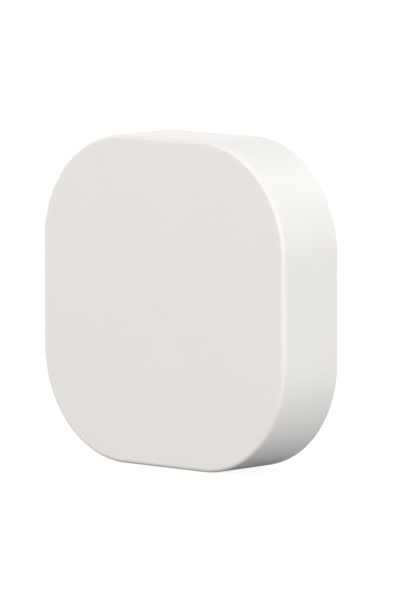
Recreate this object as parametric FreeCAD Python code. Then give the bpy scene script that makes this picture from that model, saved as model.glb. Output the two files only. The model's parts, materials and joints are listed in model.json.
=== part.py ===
import FreeCAD, Part
import math
import os

from FreeCAD import Vector

# Wireless smart button: a white square cap, pressed anywhere on its face, that slides over a chassis.
# A cover on an adhesive pad closes the battery bay at the back and holds the button on a wall.
# The origin is the middle of the wall face of the pad. +Z is up, +X is to the right seen from the
# front, and the front faces -Y. All sizes are in millimetres.

# Cap
side = 45.0
corner_radius = 15.1
cap_wall = 1.5
cap_front_wall = 1.5
front_edge_radius = 0.55
rear_edge_radius = 0.3
cap_clearance = 0.35
cap_overhang = 0.4
press_travel = 0.4
post_radius = 2.6
post_length = 0.6
rib_width = 0.8
rib_height = 0.6
pin_radius = 1.1
pin_fit = 0.1
pin_edge_distance = 4.25
pin_board_gap = 0.3
barb_width = 5.0
barb_length = 1.0
barb_flat = 0.35
barb_proud = 0.8
barb_set_back = 3.2
barb_gap = 0.15

# Silicone pad between the cap's post and the switch
press_pad_radius = 2.4
press_pad_thickness = 0.75
press_pad_peg_radius = 0.8
press_pad_peg_length = 0.9
press_pad_peg_gap = 0.05
tip_gap = 0.05

# Chassis
tub_wall = 1.2
floor_thickness = 1.0
well_wall = 1.0
well_board_gap = 0.2
boss_radius = 2.0
window_side_gap = 0.3

# Back cover and its adhesive pad
cover_thickness = 1.2
cover_gap = 0.05
cover_edge_radius = 0.3
leg_width = 5.0
leg_thickness = 1.0
leg_length = 2.0
leg_tip_chamfer = 0.3
leg_wall_gap = 0.25
leg_slot_gap = 0.12
adhesive_side = 35.0
adhesive_thickness = 0.8
recess_depth = 0.45
recess_gap = 0.15
coin_radius = 8.0
coin_bite = 1.0
coin_pocket_depth = 0.5

# Frame over the circuit board
frame_thickness = 1.0
frame_edge_gap = 0.15
frame_opening_radius = 12.4
foot_radius = 2.0
foot_height = 0.5
bushing_wall = 1.1
bushing_cap_gap = 0.2

# Screws
screw_shank_radius = 0.85
screw_length = 5.0
screw_head_radius = 1.6
screw_head_height = 0.9
screw_hole_gap = 0.15
screw_thread_gap = 0.05
screw_edge_distance = 7.05
screw_recess_width = 0.45
screw_recess_reach = 0.95
screw_recess_depth = 0.45
pilot_extra = 0.2

# Circuit board and what is soldered to it
board_thickness = 1.0
board_edge_gap = 0.3
board_hole_gap = 0.25
chip_side = 5.0
chip_height = 0.85
chip_offset = 8.0
dimple_radius = 0.3
dimple_depth = 0.1
dimple_inset = 0.65
crystal_size = (3.2, 2.5, 0.7)
memory_size = (3.0, 2.6, 0.6)
small_part_x = 6.4
small_part_z = 6.6
passive_size = (1.0, 0.5)
passive_height = 0.5
passive_end = 0.25
passive_waist_cut = 0.05
capacitor_pitch = 1.0
capacitor_rows = 4
capacitor_gap = 0.5
resistor_pitch = 1.3
resistor_count = 6
resistor_gap = 2.85
led_size = (2.0, 1.25, 0.6)
led_x = -7.0
led_frame_wall = 1.75
guide_gap = 0.1
guide_radius = 1.45
guide_hole_gap = 0.05
guide_flange_radius = 2.0
guide_flange_height = 0.4
antenna_width = 0.6
antenna_thickness = 0.05
antenna_fingers = 6
antenna_pitch = 1.8
antenna_reach = 2.2
antenna_edge_distance = 0.8

# Coin cell and its contacts
cell_radius = 10.0
cell_height = 3.2
cell_recess = 0.1
cell_side_gap = 0.3
can_wall = 0.25
cell_cap_step = 0.4
gasket_width = 1.2
gasket_height = 1.4
contact_height = 0.7
contact_sheet = 0.2
contact_width = 4.0
contact_foot = 2.5
contact_knee = 5.5
contact_end = 7.0
clip_gap = 0.05
clip_foot = 3.0
clip_height = 2.7
clip_slot_gap = 0.3

# Main switch
main_width = 6.2
main_lid = 0.3
main_stem_radius = 1.7
main_stem_proud = 0.6

# Reset switch, on the back of the board
reset_width = 3.4
reset_lid = 0.2
reset_stem_radius = 0.9
reset_travel = 0.25
reset_recess = 0.4
reset_hole_gap = 0.5
reset_boss_gap = 1.8
reset_well_gap = 1.0

# Details that the two switches share
switch_floor = 0.4
stem_flange = 0.4
stem_flange_height = 0.35
stem_lid_gap = 0.05
stem_hole_gap = 0.08
flange_side_gap = 0.15
dome_sheet = 0.1
dome_gap = 0.05
dome_pressed_height = 0.35
dome_edge_gap = 0.05
tab_width = 2.2
tab_length = 0.95
terminal_width = 0.7
terminal_sheet = 0.2
terminal_reach = 0.9
terminal_rise = 0.5
terminal_edge = 0.35

# Height of a switch's housing: floor, pressed dome, travel, the gap above the dome, flange and lid gap
switch_layers = switch_floor + dome_pressed_height + dome_gap + stem_flange_height + stem_lid_gap
main_base_height = switch_layers + press_travel
reset_base_height = switch_layers + reset_travel

# Places along the depth, from the wall at Y = 0 to the front
cover_rear = recess_depth - adhesive_thickness
recess_floor = -adhesive_thickness
cover_front = cover_rear - cover_thickness
chassis_rear = cover_front - cover_gap
cap_rear = chassis_rear + cap_overhang
floor_front = chassis_rear - floor_thickness
cell_rear = chassis_rear - cell_recess
cell_front = cell_rear - cell_height
board_rear = cell_front - contact_height
board_front = board_rear - board_thickness
frame_rear = board_front - foot_height
frame_front = frame_rear - frame_thickness
stem_tip = board_front - main_base_height - main_lid - main_stem_proud
press_pad_rear = stem_tip - tip_gap
press_pad_front = press_pad_rear - press_pad_thickness
cap_inside = press_pad_front - post_length
front = cap_inside - cap_front_wall
well_front = board_rear + well_board_gap

# Outlines across the depth
cavity_side = side - 2 * cap_wall
tub_side = cavity_side - 2 * cap_clearance
tub_radius = corner_radius - cap_wall - cap_clearance
tub_inner_side = tub_side - 2 * tub_wall
tub_inner_radius = tub_radius - tub_wall
board_side = tub_inner_side - 2 * board_edge_gap
frame_side = tub_inner_side - 2 * frame_edge_gap
well_radius = cell_radius + cell_side_gap
adhesive_radius = tub_radius - (tub_side - adhesive_side) / 2
screw_place = tub_inner_side / 2 - screw_edge_distance
pin_place = tub_inner_side / 2 - pin_edge_distance
led_distance = frame_opening_radius + led_frame_wall + guide_radius + guide_hole_gap
led_z = math.sqrt(led_distance ** 2 - led_x ** 2)
reset_x = screw_place - boss_radius - reset_boss_gap - terminal_reach - reset_width / 2
reset_z = -well_radius - well_wall - reset_well_gap - reset_width / 2

# The four corners for the screws, and the four sides as turns about Y
corners = [(sx * screw_place, sz * screw_place) for sx in (-1, 1) for sz in (-1, 1)]
quarter_turns = (0, 90, 180, 270)

# Cutting tools run past the face they start from by the overcut
OVERCUT = 1.0
TOUCH = 1e-6
DEPTH = Vector(0, 1, 0)
UP = Vector(0, 0, 1)
CENTRE = Vector(0, 0, 0)


def block(x0, x1, y0, y1, z0, z1):
    """Box between two values on each axis."""
    return Part.makeBox(x1 - x0, y1 - y0, z1 - z0, Vector(x0, y0, z0))


def bar(radius, y0, y1, x=0.0, z=0.0):
    """Round bar along the depth, from y0 back to y1."""
    return Part.makeCylinder(radius, y1 - y0, Vector(x, y0, z), DEPTH)


def rounded_slab(width, radius, y0, y1):
    """Square slab across the depth with its four corners rounded."""
    slab = block(-width / 2, width / 2, y0, y1, -width / 2, width / 2)
    uprights = [edge for edge in slab.Edges if edge.BoundBox.YLength > (y1 - y0) / 2]
    return slab.makeFillet(radius, uprights)


def round_rim(slab, radius, y):
    """The slab with the outer edge of its face at y rounded."""
    rim = []
    for edge in slab.Edges:
        box = edge.BoundBox
        if box.YLength < TOUCH and abs(box.YMin - y) < TOUCH:
            rim.append(edge)
    return slab.makeFillet(radius, rim)


def profile(points, z0, z1):
    """Flat outline of X, Y points, drawn out along Z."""
    corners_3d = [Vector(x, y, z0) for x, y in points]
    face = Part.Face(Part.makePolygon(corners_3d + corners_3d[:1]))
    return face.extrude(Vector(0, 0, z1 - z0))


def turned(shape, angle):
    """Copy of the shape turned about the depth axis."""
    copy = shape.copy()
    copy.rotate(CENTRE, DEPTH, angle)
    return copy


def on_four_sides(shape):
    """Copies of the shape on all four sides."""
    return [turned(shape, angle) for angle in quarter_turns]


def unwrapped(shape):
    """The solid itself where a result holds one solid, or else the whole result."""
    return shape.Solids[0] if len(shape.Solids) == 1 else shape


def joined(first, others):
    """One solid from shapes that touch or overlap."""
    return unwrapped(first.multiFuse(others).removeSplitter())


def less(shape, tools):
    """The shape with the tools cut away."""
    return unwrapped(shape.cut(Part.makeCompound(tools)).removeSplitter())


def at_corners(radius, y0, y1):
    """Round bars at the four screw places."""
    return [bar(radius, y0, y1, x, z) for x, z in corners]


def save(name, shape):
    """Writes one node, after a test that its solids are sound."""
    if not shape.isValid():
        raise ValueError(name + " isn't a valid shape")
    shape.exportStep("parts/" + name + ".step")


def cap_shell():
    """Front face and skirt in one, with post, guide pins, ribs and barbs inside."""
    outside = rounded_slab(side, corner_radius, front, cap_rear)
    outside = round_rim(outside, front_edge_radius, front)
    outside = round_rim(outside, rear_edge_radius, cap_rear)
    inside = rounded_slab(cavity_side, corner_radius - cap_wall, cap_inside, cap_rear + OVERCUT)
    shell = outside.cut(inside)

    post = bar(post_radius, cap_inside, press_pad_front)
    pin_tip = board_front - press_travel - pin_board_gap
    pins = on_four_sides(bar(pin_radius, cap_inside, pin_tip, pin_place, 0))
    rib = block(-pin_place, pin_place, cap_inside, cap_inside + rib_height, -rib_width / 2, rib_width / 2)
    ribs = [turned(rib, 45), turned(rib, 135)]

    barb_front = chassis_rear - barb_set_back
    skirt_face = cavity_side / 2
    barb_points = [
        (skirt_face, barb_front),
        (skirt_face - barb_proud, barb_front),
        (skirt_face - barb_proud, barb_front + barb_flat),
        (skirt_face, barb_front + barb_length),
    ]
    barbs = on_four_sides(profile(barb_points, -barb_width / 2, barb_width / 2))
    cap = joined(shell, [post] + pins + ribs + barbs)
    peg_hole_end = press_pad_front - press_pad_peg_length - press_pad_peg_gap
    peg_hole = bar(press_pad_peg_radius + press_pad_peg_gap, peg_hole_end, press_pad_front)
    return less(cap, [peg_hole])


def press_pad():
    """Silicone pad on the post's end, with a peg that goes up into the post."""
    disc = bar(press_pad_radius, press_pad_front, press_pad_rear)
    peg = bar(press_pad_peg_radius, press_pad_front - press_pad_peg_length, press_pad_front)
    return joined(disc, [peg])


def cover_leg(gap):
    """One leg of the back cover on the right side, larger by the gap all round for its slot."""
    outer = tub_inner_side / 2 - leg_wall_gap
    tip = cover_front - leg_length
    half = leg_width / 2 + gap
    return block(outer - leg_thickness - gap, outer + gap, tip, cover_front, -half, half)


def chassis_tub():
    """Tub that carries the board and the cell, and that the cap slides on."""
    outside = rounded_slab(tub_side, tub_radius, frame_front, chassis_rear)
    inside = rounded_slab(tub_inner_side, tub_inner_radius, frame_front - OVERCUT, floor_front)
    tub = outside.cut(inside)
    well = bar(well_radius + well_wall, well_front, chassis_rear)
    tub = joined(tub, [well] + at_corners(boss_radius, board_rear, chassis_rear))

    cell_bay = bar(well_radius, well_front - OVERCUT, chassis_rear + OVERCUT)
    pilot_end = frame_front + screw_length + pilot_extra
    pilots = at_corners(screw_shank_radius + screw_thread_gap, board_rear - OVERCUT, pilot_end)
    window_front = chassis_rear - barb_set_back - barb_gap
    window_rear = chassis_rear - barb_set_back + barb_length + press_travel + barb_gap
    window_half = barb_width / 2 + window_side_gap
    wall_inside = tub_inner_side / 2
    window = block(
        wall_inside - OVERCUT, wall_inside + tub_wall + OVERCUT,
        window_front, window_rear, -window_half, window_half,
    )
    clip_half = contact_width / 2 + clip_slot_gap
    clip_slot = block(
        -well_radius - well_wall - OVERCUT, -well_radius + OVERCUT,
        well_front - OVERCUT, floor_front, -clip_half, clip_half,
    )
    reset_hole = bar(
        reset_stem_radius + reset_hole_gap, floor_front - OVERCUT, chassis_rear + OVERCUT, reset_x, reset_z
    )
    coin_pocket = coin_cut(chassis_rear - coin_pocket_depth, chassis_rear + OVERCUT)
    cuts = [cell_bay, clip_slot, reset_hole, coin_pocket]
    cuts += pilots + on_four_sides(window) + on_four_sides(cover_leg(leg_slot_gap))
    return less(tub, cuts)


def coin_cut(y0, y1):
    """Round bite out of the bottom edge, where a coin lifts the cover."""
    return bar(coin_radius, y0, y1, 0, -tub_side / 2 - coin_radius + coin_bite)


def back_cover():
    """Plate that closes the battery bay, with four legs that hold it in the chassis."""
    plate = rounded_slab(tub_side, tub_radius, cover_front, cover_rear)
    plate = round_rim(plate, cover_edge_radius, cover_rear)
    legs = []
    for leg in on_four_sides(cover_leg(0)):
        tip_edges = []
        for edge in leg.Edges:
            at_tip = edge.BoundBox.YMax < cover_front - leg_length + TOUCH
            if at_tip and edge.Length > leg_width - TOUCH:
                tip_edges.append(edge)
        legs.append(leg.makeChamfer(leg_tip_chamfer, tip_edges))
    cover = joined(plate, legs)
    recess_side = adhesive_side + 2 * recess_gap
    recess = rounded_slab(recess_side, adhesive_radius + recess_gap, recess_floor, cover_rear + OVERCUT)
    return less(cover, [recess, coin_cut(cover_front - OVERCUT, cover_rear + OVERCUT)])


def adhesive_pad():
    """Double-sided foam pad in the cover's recess."""
    return rounded_slab(adhesive_side, adhesive_radius, recess_floor, 0)


def mid_frame():
    """Frame that clamps the board and guides the cap's pins."""
    plate = rounded_slab(frame_side, tub_inner_radius - frame_edge_gap, frame_front, frame_rear)
    plate = plate.cut(bar(frame_opening_radius, frame_front - OVERCUT, frame_rear + OVERCUT))
    bushing_radius = pin_radius + pin_fit
    bushing_front = cap_inside + rib_height + press_travel + bushing_cap_gap
    collars = on_four_sides(bar(bushing_radius + bushing_wall, bushing_front, frame_rear, pin_place, 0))
    frame = joined(plate, collars + at_corners(foot_radius, frame_front, board_front))
    bore = bar(bushing_radius, bushing_front - OVERCUT, frame_rear + OVERCUT, pin_place, 0)
    bores = on_four_sides(bore)
    holes = at_corners(screw_shank_radius + screw_hole_gap, frame_front - OVERCUT, board_front + OVERCUT)
    guide_hole_radius = guide_radius + guide_hole_gap
    guide_hole = bar(guide_hole_radius, frame_front - OVERCUT, frame_rear + OVERCUT, led_x, led_z)
    return less(frame, bores + holes + [guide_hole])


def light_guide():
    """Clear rod over the light, which spreads it on the inside of the cap."""
    led_top = board_front - led_size[2]
    rod = bar(guide_radius, frame_front - guide_flange_height, led_top - guide_gap, led_x, led_z)
    flange = bar(guide_flange_radius, frame_front - guide_flange_height, frame_front, led_x, led_z)
    return joined(rod, [flange])


def frame_screws():
    """Four pan-head screws through frame and board into the chassis."""
    screws = []
    for x, z in corners:
        head = bar(screw_head_radius, frame_front - screw_head_height, frame_front, x, z)
        head = round_rim(head, screw_head_height / 2, frame_front - screw_head_height)
        shank = bar(screw_shank_radius, frame_front, frame_front + screw_length, x, z)
        screw = joined(head, [shank])
        slot_floor = frame_front - screw_head_height + screw_recess_depth
        reach = screw_recess_reach
        half = screw_recess_width / 2
        top = frame_front - screw_head_height - OVERCUT
        across = block(x - reach, x + reach, top, slot_floor, z - half, z + half)
        upright = block(x - half, x + half, top, slot_floor, z - reach, z + reach)
        screws.append(less(screw, [across, upright]))
    return Part.makeCompound(screws)


def circuit_board():
    """Board with four holes for the screws."""
    board = rounded_slab(board_side, tub_inner_radius - board_edge_gap, board_front, board_rear)
    hole_radius = screw_shank_radius + board_hole_gap
    return less(board, at_corners(hole_radius, board_front - OVERCUT, board_rear + OVERCUT))


def on_board(size, x, z):
    """Flat box of width, height and thickness on the front of the board."""
    width, height, thickness = size
    return block(
        x - width / 2, x + width / 2, board_front - thickness, board_front, z - height / 2, z + height / 2
    )


def radio_chip():
    """Radio and processor in one flat package, with a dimple at its first contact."""
    package = on_board((chip_side, chip_side, chip_height), 0, chip_offset)
    top = board_front - chip_height
    place = chip_side / 2 - dimple_inset
    dimple = bar(dimple_radius, top - OVERCUT, top + dimple_depth, -place, chip_offset + place)
    return less(package, [dimple])


def passives(places):
    """Small two-ended parts, one solid each, at the given X, Z places."""
    length, width = passive_size
    parts = []
    for x, z in places:
        body = on_board((length, width, passive_height), x, z)
        waist = length / 2 - passive_end
        trims = []
        for sign in (-1, 1):
            edge = z + sign * width / 2
            trims.append(block(
                x - waist, x + waist, board_front - passive_height - OVERCUT, board_front + OVERCUT,
                edge - passive_waist_cut, edge + passive_waist_cut,
            ))
        parts.append(less(body, trims))
    return Part.makeCompound(parts)


def capacitor_places():
    """A row of capacitors beside each side of the radio chip."""
    column = chip_side / 2 + capacitor_gap + passive_size[0] / 2
    middle = (capacitor_rows - 1) / 2
    rows = [chip_offset + (index - middle) * capacitor_pitch for index in range(capacitor_rows)]
    return [(sign * column, z) for sign in (-1, 1) for z in rows]


def resistor_places():
    """A row of resistors under the main switch."""
    middle = (resistor_count - 1) / 2
    row = -main_width / 2 - resistor_gap - passive_size[1] / 2
    return [((index - middle) * resistor_pitch, row) for index in range(resistor_count)]


def antenna_trace():
    """Copper zigzag along the top edge of the board."""
    top = board_side / 2 - antenna_edge_distance
    bottom = top - antenna_reach
    first_x = -antenna_pitch * antenna_fingers / 2
    width = antenna_width
    strips = []
    for index in range(antenna_fingers + 1):
        x = first_x + index * antenna_pitch
        strips.append((x - width / 2, x + width / 2, bottom, top))
        if index < antenna_fingers:
            link = top - width if index % 2 == 0 else bottom
            strips.append((x - width / 2, x + antenna_pitch + width / 2, link, link + width))
    solids = [
        block(x0, x1, board_front - antenna_thickness, board_front, z0, z1) for x0, x1, z0, z1 in strips
    ]
    return joined(solids[0], solids[1:])


def battery_contact_negative():
    """Sprung strip on the back of the board that presses on the cell's small pole."""
    top = cell_front
    sheet = contact_sheet
    half = [
        (contact_foot, board_rear + sheet), (contact_knee, top), (contact_end, top),
        (contact_end, top - sheet), (contact_knee, top - sheet), (contact_foot, board_rear),
    ]
    mirrored = [(-x, y) for x, y in reversed(half)]
    return profile(half + mirrored, -contact_width / 2, contact_width / 2)


def battery_contact_positive():
    """Clip on the back of the board that touches the side of the cell through the well's slot."""
    inner = -cell_radius - clip_gap
    sheet = contact_sheet
    points = [
        (inner, board_rear), (inner, board_rear + clip_height),
        (inner - sheet, board_rear + clip_height), (inner - sheet, board_rear + sheet),
        (inner - clip_foot, board_rear + sheet), (inner - clip_foot, board_rear),
    ]
    return profile(points, -contact_width / 2, contact_width / 2)


def coin_cell():
    """Can, gasket, small pole and core of the cell, by node name."""
    rim = cell_front + cell_cap_step
    pole_radius = cell_radius - can_wall - gasket_width
    can = bar(cell_radius, rim, cell_rear)
    can = less(can, [bar(cell_radius - can_wall, rim - OVERCUT, cell_rear - can_wall)])
    gasket = bar(cell_radius - can_wall, rim, rim + gasket_height)
    gasket = less(gasket, [bar(pole_radius, rim - OVERCUT, cell_rear)])
    pole = bar(pole_radius, cell_front, rim + gasket_height)
    pole = less(pole, [bar(pole_radius - can_wall, cell_front + can_wall, cell_rear)])
    core = bar(pole_radius - can_wall, cell_front + can_wall, cell_rear - can_wall)
    return {
        "coin_cell_can": can,
        "coin_cell_gasket": gasket,
        "coin_cell_cap": pole,
        "coin_cell_core": core,
    }


def tact_switch(width, base_height, lid, stem_radius, stem_proud):
    """Housing, cover, dome, stem and terminals of a switch that stands at Y = 0 and faces -Y."""
    half = width / 2
    flange_radius = stem_radius + stem_flange
    cavity_radius = flange_radius + flange_side_gap
    housing = block(-half, half, -base_height, 0, -half, half)
    housing = less(housing, [bar(cavity_radius, -base_height - OVERCUT, -switch_floor)])

    top = -base_height - lid
    tab_end = -base_height + tab_length
    plate = block(-half, half, top, -base_height, -half, half)
    tabs = []
    for z0, z1 in ((half, half + lid), (-half - lid, -half)):
        tabs.append(block(-tab_width / 2, tab_width / 2, top, tab_end, z0, z1))
    cover = less(joined(plate, tabs), [bar(stem_radius + stem_hole_gap, top - OVERCUT, 0)])

    flange_top = -base_height + stem_lid_gap
    flange_base = flange_top + stem_flange_height
    flange = bar(flange_radius, flange_top, flange_base)
    stem = joined(flange, [bar(stem_radius, top - stem_proud, flange_base)])

    dome_height = -switch_floor - dome_gap - flange_base
    dome_radius = cavity_radius - dome_edge_gap
    ball_radius = (dome_radius ** 2 + dome_height ** 2) / (2 * dome_height)
    ball_centre = Vector(0, -switch_floor - dome_height + ball_radius, 0)
    ball = Part.makeSphere(ball_radius, ball_centre)
    hollow = Part.makeSphere(ball_radius - dome_sheet, ball_centre)
    reach = bar(cavity_radius, -switch_floor - dome_height - OVERCUT, -switch_floor)
    dome = unwrapped(ball.cut(hollow).common(reach))

    bend = half + terminal_reach / 2
    sheet = terminal_sheet
    top_strip = block(half, bend, -terminal_rise - sheet, -terminal_rise, 0, terminal_width)
    drop = block(bend - sheet, bend, -terminal_rise, 0, 0, terminal_width)
    foot = block(bend - sheet, half + terminal_reach, -sheet, 0, 0, terminal_width)
    leg = joined(top_strip, [drop, foot])
    terminals = []
    for z in (half - terminal_edge - terminal_width, terminal_edge - half):
        copy = leg.copy()
        copy.translate(Vector(0, 0, z))
        terminals += [turned(copy, 0), turned(copy, 180)]
    return {
        "housing": housing,
        "cover": cover,
        "dome": dome,
        "stem": stem,
        "terminals": Part.makeCompound(terminals),
    }


def save_switch(name, pieces, x, y, z, faces_back):
    """Sets a switch on the board and writes its pieces."""
    for piece_name, piece in pieces.items():
        if faces_back:
            piece.rotate(CENTRE, UP, 180)
        piece.translate(Vector(x, y, z))
        save(name + "_" + piece_name, piece)


def build():
    """Writes every node of the button."""
    os.makedirs("parts", exist_ok=True)
    save("cap_shell", cap_shell())
    save("press_pad", press_pad())
    save("mid_frame", mid_frame())
    save("light_guide", light_guide())
    save("frame_screws", frame_screws())
    save("chassis_tub", chassis_tub())
    save("back_cover", back_cover())
    save("adhesive_pad", adhesive_pad())
    save("circuit_board", circuit_board())
    save("radio_chip", radio_chip())
    save("crystal_oscillator", on_board(crystal_size, -small_part_x, small_part_z))
    save("flash_memory", on_board(memory_size, small_part_x, small_part_z))
    save("status_led", on_board(led_size, led_x, led_z))
    save("ceramic_capacitors", passives(capacitor_places()))
    save("chip_resistors", passives(resistor_places()))
    save("antenna_trace", antenna_trace())
    save("battery_contact_negative", battery_contact_negative())
    save("battery_contact_positive", battery_contact_positive())
    for name, shape in coin_cell().items():
        save(name, shape)

    main = tact_switch(main_width, main_base_height, main_lid, main_stem_radius, main_stem_proud)
    save_switch("main_switch", main, 0, board_front, 0, False)
    reset_proud = chassis_rear - reset_recess - (board_rear + reset_base_height + reset_lid)
    reset = tact_switch(reset_width, reset_base_height, reset_lid, reset_stem_radius, reset_proud)
    save_switch("reset_switch", reset, reset_x, board_rear, reset_z, True)


build()
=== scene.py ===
import json
import logging
import math
from collections import Counter
from collections.abc import Callable, Iterable, Iterator, Sequence
from contextlib import contextmanager
from dataclasses import dataclass
from enum import Enum
from typing import Any

import bmesh
import bpy
from mathutils import Matrix, Vector, noise


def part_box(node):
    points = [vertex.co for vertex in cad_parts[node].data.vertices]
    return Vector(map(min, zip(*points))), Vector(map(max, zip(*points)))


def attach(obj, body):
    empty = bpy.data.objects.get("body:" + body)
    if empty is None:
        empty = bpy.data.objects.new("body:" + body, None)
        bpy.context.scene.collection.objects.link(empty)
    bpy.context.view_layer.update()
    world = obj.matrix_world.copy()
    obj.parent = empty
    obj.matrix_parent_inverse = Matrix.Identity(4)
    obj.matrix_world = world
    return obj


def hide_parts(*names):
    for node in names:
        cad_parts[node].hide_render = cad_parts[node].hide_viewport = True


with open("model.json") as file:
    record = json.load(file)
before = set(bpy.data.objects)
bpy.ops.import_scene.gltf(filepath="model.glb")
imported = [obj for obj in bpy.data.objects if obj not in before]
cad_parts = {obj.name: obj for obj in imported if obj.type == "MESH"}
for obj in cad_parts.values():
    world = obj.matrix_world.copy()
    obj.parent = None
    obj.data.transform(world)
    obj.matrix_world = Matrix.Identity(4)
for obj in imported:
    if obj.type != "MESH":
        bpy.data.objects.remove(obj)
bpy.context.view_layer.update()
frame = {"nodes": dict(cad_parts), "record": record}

# Looks of a white wireless smart button, in the same frame as its solids: the origin is the middle
# of the wall face of the adhesive pad, +Z is up, +X is right, and the front faces -Y.
# Sizes in the classes are in millimetres. Meshes and lamps are in metres.

MM = 0.001
TINNED = "tinned"
MERGE = 1e-7
TIP = 1e-6
FLAT_ANGLE = math.radians(0.3)
STRAIGHT_ANGLE = math.radians(5)
SMOOTH_ANGLE = math.radians(38)
BEVEL_ANGLE = math.radians(35)

# A rounded corner takes at most a share of its shorter leg. A point on each leg holds it at a
# distance that grows with the rounding or with the straight, up to a share of the leg.
LEG_SHARE = 0.4
HOLD_SHARE = 0.09
HOLD_LEAST = 0.02
HOLD_BY_ROUNDING = 0.35
HOLD_BY_STRAIGHT = 0.03

Colour = tuple[float, float, float]
Point2 = tuple[float, float]
Point3 = tuple[float, float, float]
Node = bpy.types.Node
Socket = bpy.types.NodeSocket
Inputs = dict[str | int, Any]
Object = bpy.types.Object

log = logging.getLogger("smart_button")


class Slot(Enum):
    """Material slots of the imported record."""

    CAP = "cap_plastic"
    SILICONE = "silicone"
    FRAME = "frame_plastic"
    CLEAR = "clear_plastic"
    SCREW = "screw_steel"
    CHASSIS = "chassis_plastic"
    COVER = "cover_plastic"
    FOAM = "adhesive_foam"
    BOARD = "board_laminate"
    CHIP = "chip_resin"
    CRYSTAL = "crystal_can"
    LED = "led_resin"
    CAPACITOR = "capacitor_ceramic"
    RESISTOR = "resistor_ceramic"
    COPPER = "copper"
    SPRING = "spring_steel"
    CELL = "cell_steel"
    GASKET = "cell_gasket"
    CORE = "cell_core"
    SWITCH_PLASTIC = "switch_plastic"
    SWITCH_STEEL = "switch_steel"
    STEM = "stem_plastic"


class Cut(Enum):
    """What a Boolean does with its tools."""

    ADD = "UNION"
    REMOVE = "DIFFERENCE"


class Brush(Enum):
    """Direction of the brushing on a metal sheet, as a stretch along the axes."""

    ALONG_X = (1 / 30, 1.0, 1.0)
    ALONG_Z = (1.0, 1.0, 1 / 30)


# Nodes


class NodeBoard:
    """A node tree being filled, with short calls to add nodes and join them."""

    def __init__(self, tree: bpy.types.NodeTree) -> None:
        """Takes the tree to fill."""
        self.tree = tree

    def join(self, value: Any, socket: Socket) -> None:
        """Feeds an input.

        Args:
            value: A socket to link, or a plain value to write.
            socket: The input.
        """
        if isinstance(value, bpy.types.NodeSocket):
            self.tree.links.new(value, socket)
        else:
            socket.default_value = value

    def add(self, kind: str, inputs: Inputs | None = None, **settings: Any) -> Node:
        """Adds a node.

        Args:
            kind: Type name of the node.
            inputs: Values or sockets for its inputs, by number, identifier or name.
            settings: Values for its own properties.

        Returns:
            The new node.
        """
        node = self.tree.nodes.new(kind)
        for name, value in settings.items():
            setattr(node, name, value)
        sockets = {socket.identifier: socket for socket in node.inputs}
        for key, value in (inputs or {}).items():
            self.join(value, sockets[key] if key in sockets else node.inputs[key])
        return node

    def first(self, kind: str, inputs: Inputs | None = None, **settings: Any) -> Socket:
        """First output of a node that is added as above."""
        return self.add(kind, inputs, **settings).outputs[0]

    def maths(self, operation: str, first: Any, second: Any = 0.0) -> Socket:
        """Result of one sum on one or two values."""
        return self.first("ShaderNodeMath", {0: first, 1: second}, operation=operation)

    def vector_maths(self, operation: str, first: Any, second: Any = (0.0, 0.0, 0.0)) -> Node:
        """Node that works on one or two vectors."""
        return self.add("ShaderNodeVectorMath", {0: first, 1: second}, operation=operation)


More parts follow.
